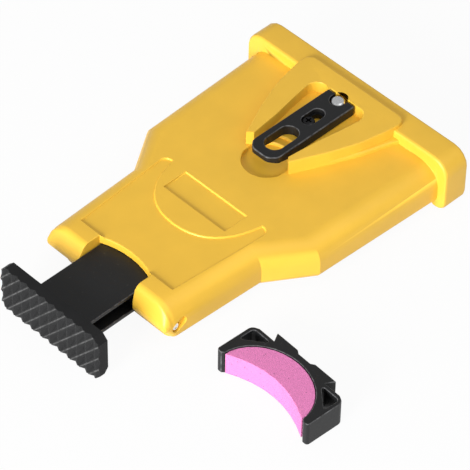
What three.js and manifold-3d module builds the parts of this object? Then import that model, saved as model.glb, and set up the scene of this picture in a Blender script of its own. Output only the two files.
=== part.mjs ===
// Bar-mounted chainsaw sharpener: a hinged clamshell housing that closes round the nose of a guide bar, with
// a spring-returned carriage that presses a curved stone against the running chain, and a spare cartridge.
// Millimetres, +Z up. X runs from the push pad to the bar mouth, Y across, and z = 0 is the flat underside.
// The pieces are drawn with x = 0 at the housing's front, and the whole is moved to its middle at the end.

import * as THREE from "three";
import { mergeVertices } from "three/addons/utils/BufferGeometryUtils.js";
import Module from "manifold-3d";

const wasm = await Module();
wasm.setup();

// Clearances
const GAP = 0.3;
const PIN_PLAY = 0.25;
const OVERRUN = 1;
const SMALLEST_STEP = 0.01;

// Housing, outside
const HOUSING_LENGTH = 139.3;
const NECK_END = 46;
const SHOULDER_END = 64.9;
const FRONT_HALF_WIDTH = 33.2;
const NECK_HALF_WIDTH = 35.4;
const BODY_FRONT_HALF_WIDTH = 47.9;
const BODY_REAR_HALF_WIDTH = 50.6;
const BODY_TOP = 20.2;
const BODY_BOTTOM = 3.3;
const SHOULDER_RADIUS = 9;
const HEM_RADIUS = 3.2;
const PLAN_CORNER_RADIUS = 1.7;
const COVER_WALL = 2.2;
const INNER_HEM = 0.2;
const UPPER_RADIUS_SHARE = 0.62;
const LOWER_RADIUS_SHARE = 0.34;

// Nose: the front face leans forward to a rounded lower edge, and the chin runs back under it
const NOSE_CREST = 1.4;
const NOSE_REACH = 2.2;
const NOSE_HEIGHT = 10.9;
const CHIN_LEAD = 3.4;
const NOSE_TOP_RADIUS = 3.2;
const NOSE_EDGE_RADIUS = 4;
const CHIN_RADIUS = 3;
const HOLLOW_FRONT = 1.8;
const HOLLOW_NOSE_RADIUS = 4.2;
const HOLLOW_CORNER_RADIUS = 1.2;
const RING_SPACING = 0.12;

// Rear flange round the bar mouth
const FLANGE_THICKNESS = 12.5;
const FLANGE_HALF_WIDTH = 54.6;
const FLANGE_TOP = 25.4;
const FLANGE_CORNER_RADIUS = 7.4;
const FLANGE_FOOT_RADIUS = 4.5;
const FLANGE_EDGE = 1.4;
const MOUTH_HALF_WIDTH = 42;
const MOUTH_TOP = 16.2;
const MOUTH_SILL = 4.7;

// Front notch that the slide runs through
const NOTCH_HALF_WIDTH = 14.2;
const NOTCH_SIDE_DEPTH = 9;
const NOTCH_CROWN = 2.9;
const NOTCH_WALL = 2.2;
const HORN_CORNER_LENGTH = 4.4;
const HORN_CORNER_WIDTH = 2.8;

// Shallow relief on the cover's top
const RELIEF_DEPTH = 0.7;
const RELIEF_FRONT = 9.6;
const RELIEF_HALF_WIDTH = 25;
const RELIEF_REAR = 56.8;
const RELIEF_REAR_HALF_WIDTH = 28.2;
const RELIEF_CORNER = 3.6;
const SMILE_TIP = 33.4;
const SMILE_FLANK_SHARE = 0.52;
const SMILE_BULGE_SHARE = 0.08;
const BAND_FRONT = 44.8;
const BAND_REAR = 56.2;
const BAND_HALF_WIDTH = 16.6;

// Raised boss that shields the latch. What belongs to the rear is set back from the rear face.
const BOSS_TOP = 26.8;
const BOSS_LENGTH = 50;
const BOSS_SETBACK = 5.5;
const BOSS_HALF_WIDTH = 26.6;
const BOSS_CORNER_RADIUS = 6;
const BOSS_EDGE = 0.8;
const TIER_HEIGHT = 1.8;
const TIER_HALF_WIDTH = 30;
const RECESS_FLOOR = 21.7;
const RECESS_LENGTH = 38.4;
const RECESS_SETBACK = 8.6;
const RECESS_HALF_WIDTH = 14.8;
const RECESS_CORNER_RADIUS = 5;
const LEG_END_SLANT = 2;
const LEG_END_WIDTH = 2.4;
const DISH_RADIUS = 9.9;
const DISH_LEAD = 0.2;
const DISH_LEDGE = 3.2;
const DISH_DEPTH = 1.6;
const DISH_FLOOR_THICKNESS = 1.8;

// Ribs under the cover's ceiling that hold the bar down on its rest
const CLAMP_RIB_Y = 9;
const CLAMP_RIB_THICKNESS = 1.8;
const CLAMP_RIB_BOTTOM = 12.1;

// Latch
const LATCH_THICKNESS = 4.5;
const LATCH_LENGTH = 45.2;
const LATCH_REAR_PLAY = 0.6;
const LATCH_HALF_WIDTH = 7.1;
const LATCH_TIP_THICKNESS = 2.4;
const LATCH_RAMP_LENGTH = 10.5;
const LATCH_CHAMFER = 3.2;
const LATCH_TRAVEL = 5;
const LATCH_HOLE_LEAD = 4.2;
const LATCH_HOLE_LENGTH = 15.8;
const LATCH_HOLE_HALF_WIDTH = 4.1;
const LATCH_EDGE = 0.4;

// Latch screw and the bush that it clamps
const SCREW_SETBACK = 18.3;
const SCREW_HEAD_RADIUS = 2.6;
const SCREW_HEAD_HEIGHT = 1.9;
const SCREW_SHANK_RADIUS = 1.1;
const SCREW_LENGTH = 9;
const SCREW_CROSS_WIDTH = 0.8;
const SCREW_CROSS_LENGTH = 3.4;
const SCREW_CROSS_DEPTH = 1.1;
const SCREW_CROSS_SHARE = 0.75;
const BUSH_RADIUS = 1.9;
const SCREW_BOSS_RADIUS = 4;
const SCREW_BOSS_BOTTOM = 16.4;

// Lock pin and locating pin, screwed to the base from below
const LOCK_PIN_SETBACK = 2;
const LOCK_PIN_TOP = 26.4;
const LOCK_PIN_RADIUS = 2.9;
const LOCK_GROOVE_RADIUS = 2;
const LOCK_GROOVE_HEIGHT = 1.8;
const LOCK_HEAD_HEIGHT = 1.8;
const PIN_SPACING = 23.8;
const LOCATING_PIN_TOP = 14.6;
const LOCATING_PIN_RADIUS = 2.6;
const PIN_COLLAR_RADIUS = 4.4;
const PIN_COLLAR_HEIGHT = 1.2;
const PIN_CHAMFER = 0.7;
const PIN_HOLE_DRIFT = 1.3;
const BASE_SCREW_RADIUS = 1.2;
const BASE_SCREW_HEAD_RADIUS = 2.5;
const BASE_SCREW_HEAD_HEIGHT = 1.4;
const BASE_SCREW_LENGTH = 6;
const SHALLOW_CROSS_DEPTH = 0.8;

// Base shell
const BASE_FLOOR = 2.2;
const BASE_INSET = 4;
const BASE_CORNER_RADIUS = 3.4;
const BASE_WALL = 2;
const BASE_WALL_TOP = 12.4;
const BASE_UNDER_EDGE = 1;
const SILL_HALF_WIDTH = 41.6;
const BAR_REST_TOP = 7.4;
const BAR_REST_HALF_WIDTH = 12;
const BAR_REST_LEAD = 9;
const BAR_REST_TAIL = 8.2;
const FLOOR_RIB_THICKNESS = 1.8;
const FLOOR_RIB_HEIGHT = 1.4;
const FLOOR_RIB_LEAD = 6;
const FLOOR_RIB_PITCH = 16;
const RUNNER_HALF_WIDTH = 1;
const RUNNER_Y = 19;
const RUNNER_LENGTH = 40;

// Hinge
const HINGE_X = 4;
const HINGE_Z = 9.6;
const HINGE_PIN_RADIUS = 1.7;
const EAR_RADIUS = 3;
const EAR_INNER = 21.6;
const EAR_OUTER = 27;
const EAR_ARM_LENGTH = 12;
const SWEEP_CLEARANCE = 0.5;
const HINGE_POCKET_DEPTH = 0.9;
const HINGE_POCKET_RADIUS = 2.1;
const HINGE_POCKET_RUN = 2.7;
const HINGE_POCKET_RISE = 1.6;

// Guide blocks beside the slide, and the strap over it
const GUIDE_FRONT = 17.4;
const GUIDE_LENGTH = 9.8;
const GUIDE_HALF_WIDTH = 22.6;
const FINGER_THICKNESS = 2.2;
const FINGER_CLEARANCE = 0.4;
const STRAP_THICKNESS = 1.2;
const STRAP_MARGIN = 0.4;
const STRAP_SCREW_Y = 18.6;
const STRAP_SCREW_RADIUS = 1.2;
const STRAP_SCREW_HEAD_RADIUS = 2.3;
const STRAP_SCREW_LENGTH = 9;

// Slide and carriage head
const SLIDE_HALF_WIDTH = 13.7;
const SLIDE_BOTTOM = 5.8;
const SLIDE_TOP = 16;
const SLIDE_PLATE = 1.7;
const SLIDE_CORE_HALF_WIDTH = 8.6;
const SLIDE_POCKET_HALF_WIDTH = 6.6;
const SLIDE_POCKET_FRONT = -13;
const SLIDE_POCKET_LENGTH = 17;
const SLIDE_POCKET_SPACING = 19;
const SPRING_SEAT_X = 1;
const SPRING_SEAT_THICKNESS = 1.5;
const HEAD_THICKNESS = 6.3;
const HEAD_HALF_WIDTH = 25;

// Push pad
const PAD_FRONT = -29.7;
const PAD_THICKNESS = 4.8;
const PAD_HALF_WIDTH = 27;
const PAD_BOTTOM = 0.1;
const PAD_TOP = 21.9;
const PAD_CHAMFER = 2.6;
const PAD_HEEL_RISE = 5;
const PAD_HEEL_LENGTH = 3.8;
const KNURL_PITCH = 5.06;
const KNURL_DEPTH = 1.1;
const KNURL_HALF_WIDTH = 1.9;
const KNURL_ANGLE = 50;
const KNURL_LIFT = 0.5;
const TENON_LENGTH = 8;
const TENON_HALF_WIDTH = 6.2;
const TENON_HEIGHT = 5.6;
const ROLL_PIN_RADIUS = 1;
const ROLL_PIN_BORE_SHARE = 0.5;

// Return springs
const SPRING_WIRE = 0.8;
const SPRING_RADIUS = 2;
const SPRING_TURNS = 8;
const SPRING_STEPS = 8;
const SPRING_SIDES = 5;

// Stone and its holder, in their own frame: u forward from the tabs to the back, v along the length
const CARTRIDGE_HEIGHT = 11;
const HOLDER_HALF_LENGTH = 24.9;
const HOLDER_DEPTH = 17.4;
const HOLDER_TAB = 4;
const HOLDER_TAB_REACH = 1.2;
const HOLDER_CORNER = 3;
const RAIL_DEPTH = 3.6;
const RAIL_HALF_LENGTH = 16;
const RAIL_NECK_HALF_LENGTH = 13.9;
const RAIL_DIP_HALF_LENGTH = 3.2;
const RAIL_DIP_SLOPE = 1.6;
const RAIL_DIP = 1.1;
const STONE_END_DEPTH = 1.8;
const STONE_HOLLOW = 5.6;
const STONE_BACK = 16.8;
const STONE_PROUD = 0.5;
const STONE_CROWN_SHARE = 0.46;
const STONE_CHEEK_SHARE = 0.63;
const STONE_CHEEK_WIDTH_SHARE = 0.91;
const WINDOW_WALL = 1.7;
const WINDOW_DEPTH = 7.4;
const WINDOW_LENGTH = 9.5;
const WINDOW_CORNER = 0.7;

// The spare cartridge lies beside the housing
const SPARE_X = 6.5;
const SPARE_Y = -76.7;
const SPARE_YAW = -3;

// Derived places
const SWEEP_RADIUS = HINGE_Z - BODY_BOTTOM + SWEEP_CLEARANCE;
const FLANGE_FRONT = HOUSING_LENGTH - FLANGE_THICKNESS;
const BOSS_REAR = HOUSING_LENGTH - BOSS_SETBACK;
const BOSS_FRONT = BOSS_REAR - BOSS_LENGTH;
const RECESS_REAR = BOSS_REAR - RECESS_SETBACK;
const RECESS_FRONT = RECESS_REAR - RECESS_LENGTH;
const DISH_X = BOSS_FRONT - DISH_LEAD;
const LATCH_REAR = RECESS_REAR - LATCH_REAR_PLAY;
const LATCH_FRONT = LATCH_REAR - LATCH_LENGTH;
const LATCH_HOLE_FRONT = LATCH_FRONT + LATCH_HOLE_LEAD;
const LATCH_HOLE_REAR = LATCH_HOLE_FRONT + LATCH_HOLE_LENGTH;
const SCREW_X = LATCH_REAR - SCREW_SETBACK;
const LOCK_PIN_X = LATCH_REAR - LOCK_PIN_SETBACK;
const LOCATING_PIN_X = LOCK_PIN_X - PIN_SPACING;
const BAR_REST_FRONT = LOCATING_PIN_X - BAR_REST_LEAD;
const BAR_REST_REAR = LOCK_PIN_X + BAR_REST_TAIL;
const CEILING = BODY_TOP - COVER_WALL;
const LATCH_TOP = RECESS_FLOOR + GAP + LATCH_THICKNESS;
const GUIDE_REAR = GUIDE_FRONT + GUIDE_LENGTH;
const STRAP_SCREW_X = GUIDE_FRONT + GUIDE_LENGTH / 2;
const HEAD_FRONT = GUIDE_REAR + GAP;
const HEAD_REAR = HEAD_FRONT + HEAD_THICKNESS;
const CHANNEL_BOTTOM = SLIDE_BOTTOM + SLIDE_PLATE;
const CHANNEL_TOP = SLIDE_TOP - SLIDE_PLATE;
const SLIDE_MIDDLE = (SLIDE_BOTTOM + SLIDE_TOP) / 2;
const SLIDE_FRONT = PAD_FRONT + PAD_THICKNESS + GAP;
const RUNNER_TOP = SLIDE_BOTTOM - GAP;
const STONE_HALF_LENGTH = HOLDER_HALF_LENGTH - HOLDER_TAB;
const CARTRIDGE_X = HEAD_REAR - RAIL_DEPTH + GAP + HOLDER_DEPTH + RAIL_DEPTH;

// Materials
function paint(color, roughness, metalness = 0) {
  return new THREE.MeshStandardMaterial({ color, roughness, metalness });
}
const housingYellow = () => paint("#e3b23c", 0.42);
const blackPlastic = () => paint("#26272a", 0.48);
const padGrey = () => paint("#3a3a3c", 0.7);
const steel = () => paint("#b9c0cb", 0.3, 0.9);
const blackSteel = () => paint("#222326", 0.4, 0.7);
const pinkStone = () => paint("#e488ca", 0.95);

// Solids from geometry, and geometry from solids
function solid(geometry) {
  const bare = new THREE.BufferGeometry();
  bare.setAttribute("position", geometry.getAttribute("position").clone());
  if (geometry.index) bare.setIndex(geometry.index.clone());
  const merged = mergeVertices(bare, 1e-4);
  const vertProperties = new Float32Array(merged.getAttribute("position").array);
  const corners = merged.index.array;
  const kept = [];
  for (let i = 0; i < corners.length; i += 3) {
    const [a, b, c] = [corners[i], corners[i + 1], corners[i + 2]];
    if (a !== b && b !== c && c !== a) kept.push(a, b, c);
  }
  const triVerts = new Uint32Array(kept);
  return new wasm.Manifold(new wasm.Mesh({ numProp: 3, vertProperties, triVerts }));
}
function geometryOf(body) {
  const mesh = body.getMesh();
  const geometry = new THREE.BufferGeometry();
  geometry.setAttribute("position", new THREE.BufferAttribute(new Float32Array(mesh.vertProperties), 3));
  geometry.setIndex(new THREE.BufferAttribute(new Uint32Array(mesh.triVerts), 1));
  geometry.computeVertexNormals();
  return geometry;
}
const union = (...bodies) => bodies.reduce((a, b) => a.add(b));
const cut = (body, ...tools) => tools.reduce((a, b) => a.subtract(b), body);

// Simple forms
function box(x0, x1, y0, y1, z0, z1) {
  const geometry = new THREE.BoxGeometry(x1 - x0, y1 - y0, z1 - z0);
  geometry.translate((x0 + x1) / 2, (y0 + y1) / 2, (z0 + z1) / 2);
  return solid(geometry);
}
function cylinderZ(radius, x, y, z0, z1, sides = 24, topRadius = radius) {
  const geometry = new THREE.CylinderGeometry(topRadius, radius, z1 - z0, sides);
  geometry.rotateX(Math.PI / 2);
  geometry.translate(x, y, (z0 + z1) / 2);
  return solid(geometry);
}
function cylinderY(radius, x, z, y0, y1, sides = 24) {
  const geometry = new THREE.CylinderGeometry(radius, radius, y1 - y0, sides);
  geometry.translate(x, (y0 + y1) / 2, z);
  return solid(geometry);
}
function turned(points, x, y, sides = 24) {
  const profile = points.map(([r, z]) => new THREE.Vector2(r, z));
  const geometry = new THREE.LatheGeometry(profile, sides);
  geometry.rotateX(Math.PI / 2);
  geometry.translate(x, y, 0);
  return solid(geometry);
}

// An outline from corner points, each with its own rounding radius
const CORNER_STEPS = 4;
const STRAIGHT_SHARE = 0.499;
function outline(corners, steps = CORNER_STEPS) {
  const points = [];
  const count = corners.length;
  const add = (point) => {
    const last = points[points.length - 1];
    if (!last || last.distanceTo(point) > SMALLEST_STEP) points.push(point);
  };
  corners.forEach(([x, y, radius = 0], i) => {
    const corner = new THREE.Vector2(x, y);
    const before = new THREE.Vector2(...corners[(i + count - 1) % count]).sub(corner);
    const after = new THREE.Vector2(...corners[(i + 1) % count]).sub(corner);
    const half = before.angleTo(after) / 2;
    if (radius <= 0 || half > STRAIGHT_SHARE * Math.PI) {
      add(corner);
      return;
    }
    const setback = Math.min(radius / Math.tan(half), before.length() / 2, after.length() / 2);
    const bend = setback * Math.tan(half);
    const middle = before.normalize().add(after.normalize()).normalize();
    const centre = corner.clone().addScaledVector(middle, bend / Math.sin(half));
    const inward = middle.clone().negate();
    const sweep = Math.PI - 2 * half;
    const sign = before.cross(after) > 0 ? -1 : 1;
    for (let k = 0; k <= steps; k++) {
      const angle = sign * (k / steps - 0.5) * sweep;
      add(centre.clone().add(inward.clone().multiplyScalar(bend).rotateAround(new THREE.Vector2(), angle)));
    }
  });
  if (points[0].distanceTo(points[points.length - 1]) < SMALLEST_STEP) points.pop();
  return new THREE.Shape(points);
}
const mirrored = (half) => [...half, ...half.slice().reverse().map(([x, y, r]) => [x, -y, r])];

function extrude(shape, depth, edge = 0, curveSegments = 4) {
  return new THREE.ExtrudeGeometry(shape, {
    depth: depth - 2 * edge,
    curveSegments,
    bevelEnabled: edge > 0,
    bevelThickness: edge,
    bevelSize: edge,
    bevelOffset: -edge,
    bevelSegments: 2,
  }).translate(0, 0, edge);
}
function extrudeZ(shape, z0, z1, edge = 0, curveSegments = 4) {
  return solid(extrude(shape, z1 - z0, edge, curveSegments).translate(0, 0, z0));
}
function extrudeY(shape, y0, y1, curveSegments = 4) {
  return solid(extrude(shape, y1 - y0, 0, curveSegments).rotateX(Math.PI / 2).translate(0, y1, 0));
}
function extrudeX(shape, x0, x1, edge = 0, curveSegments = 4) {
  const toX = new THREE.Matrix4().makeBasis(
    new THREE.Vector3(0, 1, 0),
    new THREE.Vector3(0, 0, 1),
    new THREE.Vector3(1, 0, 0),
  );
  return solid(extrude(shape, x1 - x0, edge, curveSegments).applyMatrix4(toX).translate(x0, 0, 0));
}

// A loft along X through rings of equal point counts, each given as [y, z] counter-clockwise from +X
function loftX(rings) {
  const count = rings[0].points.length;
  const positions = [];
  const faces = [];
  for (const { x, points } of rings) {
    for (const [y, z] of points) positions.push(x, y, z);
  }
  for (let i = 0; i + 1 < rings.length; i++) {
    for (let j = 0; j < count; j++) {
      const a = i * count + j;
      const b = i * count + ((j + 1) % count);
      faces.push(a, b, b + count);
      faces.push(a, b + count, a + count);
    }
  }
  const last = (rings.length - 1) * count;
  for (let j = 1; j + 1 < count; j++) {
    faces.push(0, j + 1, j);
    faces.push(last, last + j, last + j + 1);
  }
  const geometry = new THREE.BufferGeometry();
  geometry.setAttribute("position", new THREE.BufferAttribute(new Float32Array(positions), 3));
  geometry.setIndex(faces);
  return solid(geometry);
}

// The housing's cross-section: upright sides, a large radius above and a smaller one below
const ARC_STEPS = 6;
function sectionRing(halfWidth, bottom, top, shoulder, hem) {
  const height = top - bottom;
  const upper = Math.min(shoulder, height * UPPER_RADIUS_SHARE);
  const lower = Math.min(hem, height * LOWER_RADIUS_SHARE);
  const points = [];
  const corner = (cy, cz, radius, from) => {
    for (let i = 0; i <= ARC_STEPS; i++) {
      const angle = from + (i / ARC_STEPS) * (Math.PI / 2);
      points.push([cy + radius * Math.cos(angle), cz + radius * Math.sin(angle)]);
    }
  };
  corner(halfWidth - lower, bottom + lower, lower, -Math.PI / 2);
  corner(halfWidth - upper, top - upper, upper, 0);
  corner(-halfWidth + upper, top - upper, upper, Math.PI / 2);
  corner(-halfWidth + lower, bottom + lower, lower, Math.PI);
  return points;
}

// How far a rounded front edge of the given radius has fallen back at a place behind it
function fallback(distance, radius) {
  if (distance >= radius) return 0;
  const rest = radius - Math.max(distance, 0);
  return radius - Math.sqrt(Math.max(radius * radius - rest * rest, 0));
}
function halfWidthAt(x) {
  const along = (from, to, a, b) => a + ((b - a) * (x - from)) / (to - from);
  if (x <= NECK_END) return along(0, NECK_END, FRONT_HALF_WIDTH, NECK_HALF_WIDTH);
  if (x <= SHOULDER_END) return along(NECK_END, SHOULDER_END, NECK_HALF_WIDTH, BODY_FRONT_HALF_WIDTH);
  return along(SHOULDER_END, FLANGE_FRONT, BODY_FRONT_HALF_WIDTH, BODY_REAR_HALF_WIDTH);
}

// Side outlines of the housing's outer form and of the hollow in it, as x, z and rounding
const ROUNDING_STEPS = 6;
function outerSide(rear) {
  return [
    [NOSE_CREST, BODY_TOP, NOSE_TOP_RADIUS],
    [-NOSE_REACH, NOSE_HEIGHT, NOSE_EDGE_RADIUS],
    [CHIN_LEAD, BODY_BOTTOM, CHIN_RADIUS],
    [rear, BODY_BOTTOM],
    [rear, BODY_TOP],
  ];
}
function hollowSide(rear) {
  return [
    [HOLLOW_FRONT, CEILING, HOLLOW_NOSE_RADIUS],
    [HOLLOW_FRONT, -OVERRUN],
    [rear, -OVERRUN],
    [rear, CEILING],
  ];
}

// Lowest and highest point of a side outline at a place along it
function levelsAt(points, x) {
  const levels = [];
  points.forEach((a, i) => {
    const b = points[(i + 1) % points.length];
    if ((a.x - x) * (b.x - x) <= 0 && a.x !== b.x) levels.push(a.y + ((b.y - a.y) * (x - a.x)) / (b.x - a.x));
  });
  return [Math.min(...levels), Math.max(...levels)];
}

// A loft through sections of the housing at a given depth below its skin
function housingForm(skin, side, corner, hem) {
  const points = outline(side, ROUNDING_STEPS).getPoints();
  const front = Math.min(...points.map((point) => point.x));
  const places = [...points.map((point) => point.x), NECK_END, SHOULDER_END].sort((a, b) => a - b);
  const xs = [];
  for (const x of places) {
    if (x > (xs.length ? xs[xs.length - 1] : front) + RING_SPACING) xs.push(x);
  }
  const rings = [front + RING_SPACING / 2, ...xs].map((x) => {
    const halfWidth = halfWidthAt(x) - skin - fallback(x - front, corner);
    const [low, top] = levelsAt(points, x);
    return { x, points: sectionRing(halfWidth, low, top, SHOULDER_RADIUS - skin, hem) };
  });
  return loftX(rings);
}

// Plan outline of the base, inset from the housing's side
function basePlan(inset, rear, corner) {
  const offset = (x) => halfWidthAt(x) - inset;
  return outline(mirrored([
    [inset, offset(inset), corner],
    [NECK_END + inset / 2, offset(NECK_END), corner],
    [SHOULDER_END + inset / 2, offset(SHOULDER_END), corner],
    [rear, offset(rear), 0],
  ]));
}

// Cover
function notchShape() {
  const half = NOTCH_HALF_WIDTH;
  const wide = half + HORN_CORNER_WIDTH;
  const inner = HORN_CORNER_LENGTH - NOSE_REACH;
  const shape = new THREE.Shape();
  shape.moveTo(-NOSE_REACH - OVERRUN, -wide);
  shape.lineTo(-NOSE_REACH, -wide);
  shape.quadraticCurveTo(-NOSE_REACH, -half, inner, -half);
  shape.lineTo(NOTCH_SIDE_DEPTH, -half);
  shape.quadraticCurveTo(NOTCH_SIDE_DEPTH + 2 * NOTCH_CROWN, 0, NOTCH_SIDE_DEPTH, half);
  shape.lineTo(inner, half);
  shape.quadraticCurveTo(-NOSE_REACH, half, -NOSE_REACH, wide);
  shape.lineTo(-NOSE_REACH - OVERRUN, wide);
  shape.closePath();
  return shape;
}
function flangeForm() {
  const section = outline([
    [-FLANGE_HALF_WIDTH, GAP, FLANGE_FOOT_RADIUS],
    [FLANGE_HALF_WIDTH, GAP, FLANGE_FOOT_RADIUS],
    [FLANGE_HALF_WIDTH, FLANGE_TOP, FLANGE_CORNER_RADIUS],
    [-FLANGE_HALF_WIDTH, FLANGE_TOP, FLANGE_CORNER_RADIUS],
  ]);
  return extrudeX(section, FLANGE_FRONT, HOUSING_LENGTH, FLANGE_EDGE, 6);
}
const bossOutlineShares = [[0, 0.44], [0.3, 0.7], [0.54, 0.87], [0.83, 0.985]];
function bossShape(halfWidth, rear, corner) {
  const length = BOSS_REAR - BOSS_FRONT;
  const side = bossOutlineShares.map(([along, across], i) => {
    const x = BOSS_FRONT + along * length;
    const spread = BOSS_HALF_WIDTH + (halfWidth - BOSS_HALF_WIDTH) * along * along;
    return [x, across * spread, i === 0 ? 0 : length];
  });
  return outline(mirrored([...side, [rear, halfWidth, corner]]));
}
const recessOutlineShares = [[0.35, 0.735], [0.65, 0.87]];
function recessShape() {
  const length = RECESS_REAR - RECESS_FRONT;
  const side = recessOutlineShares.map(([along, across]) => [
    RECESS_FRONT + along * length,
    across * RECESS_HALF_WIDTH,
    length,
  ]);
  const tip = bossOutlineShares[0][1] * BOSS_HALF_WIDTH;
  const slope = LEG_END_WIDTH / LEG_END_SLANT;
  const lead = BOSS_EDGE + OVERRUN;
  const front = [
    [BOSS_FRONT - lead, tip + lead * slope, 0],
    [BOSS_FRONT + LEG_END_SLANT, tip - LEG_END_WIDTH, 0],
  ];
  return outline(mirrored([...front, ...side, [RECESS_REAR, RECESS_HALF_WIDTH, RECESS_CORNER_RADIUS]]));
}
function reliefCut() {
  const floor = BODY_TOP - RELIEF_DEPTH;
  const flank = RELIEF_REAR_HALF_WIDTH * SMILE_FLANK_SHARE;
  const turn = SMILE_TIP + (RELIEF_REAR - SMILE_TIP) * SMILE_BULGE_SHARE + flank / 2;
  const wide = RELIEF_REAR_HALF_WIDTH;
  const panel = new THREE.Shape();
  panel.moveTo(RELIEF_FRONT, -RELIEF_HALF_WIDTH);
  panel.lineTo(RELIEF_REAR - RELIEF_CORNER, -wide);
  panel.quadraticCurveTo(RELIEF_REAR, -wide, RELIEF_REAR, RELIEF_CORNER - wide);
  panel.bezierCurveTo(turn, -flank - flank / 2, SMILE_TIP, -flank, SMILE_TIP, 0);
  panel.bezierCurveTo(SMILE_TIP, flank, turn, flank + flank / 2, RELIEF_REAR, wide - RELIEF_CORNER);
  panel.quadraticCurveTo(RELIEF_REAR, wide, RELIEF_REAR - RELIEF_CORNER, wide);
  panel.lineTo(RELIEF_FRONT, RELIEF_HALF_WIDTH);
  panel.closePath();
  const band = box(BAND_FRONT, BAND_REAR, -BAND_HALF_WIDTH, BAND_HALF_WIDTH, floor, BODY_TOP + OVERRUN);
  return union(extrudeZ(panel, floor, BODY_TOP + OVERRUN, 0, 10), band);
}
function hingePocket(side, wall) {
  const shape = new THREE.Shape();
  const slope = Math.atan2(HINGE_POCKET_RISE, HINGE_POCKET_RUN);
  const half = Math.PI / 2;
  shape.absarc(HINGE_X, HINGE_Z, HINGE_POCKET_RADIUS, slope + half, slope + 3 * half);
  shape.absarc(
    HINGE_X + HINGE_POCKET_RUN,
    HINGE_Z + HINGE_POCKET_RISE,
    HINGE_POCKET_RADIUS,
    slope - half,
    slope + half,
  );
  shape.closePath();
  const inner = wall - HINGE_POCKET_DEPTH;
  const outer = wall + OVERRUN;
  return side > 0 ? extrudeY(shape, inner, outer, 8) : extrudeY(shape, -outer, -inner, 8);
}
function clampRib(side) {
  const y = side * CLAMP_RIB_Y;
  const half = CLAMP_RIB_THICKNESS / 2;
  return box(BAR_REST_FRONT, FLANGE_FRONT, y - half, y + half, CLAMP_RIB_BOTTOM, BODY_TOP);
}

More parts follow.
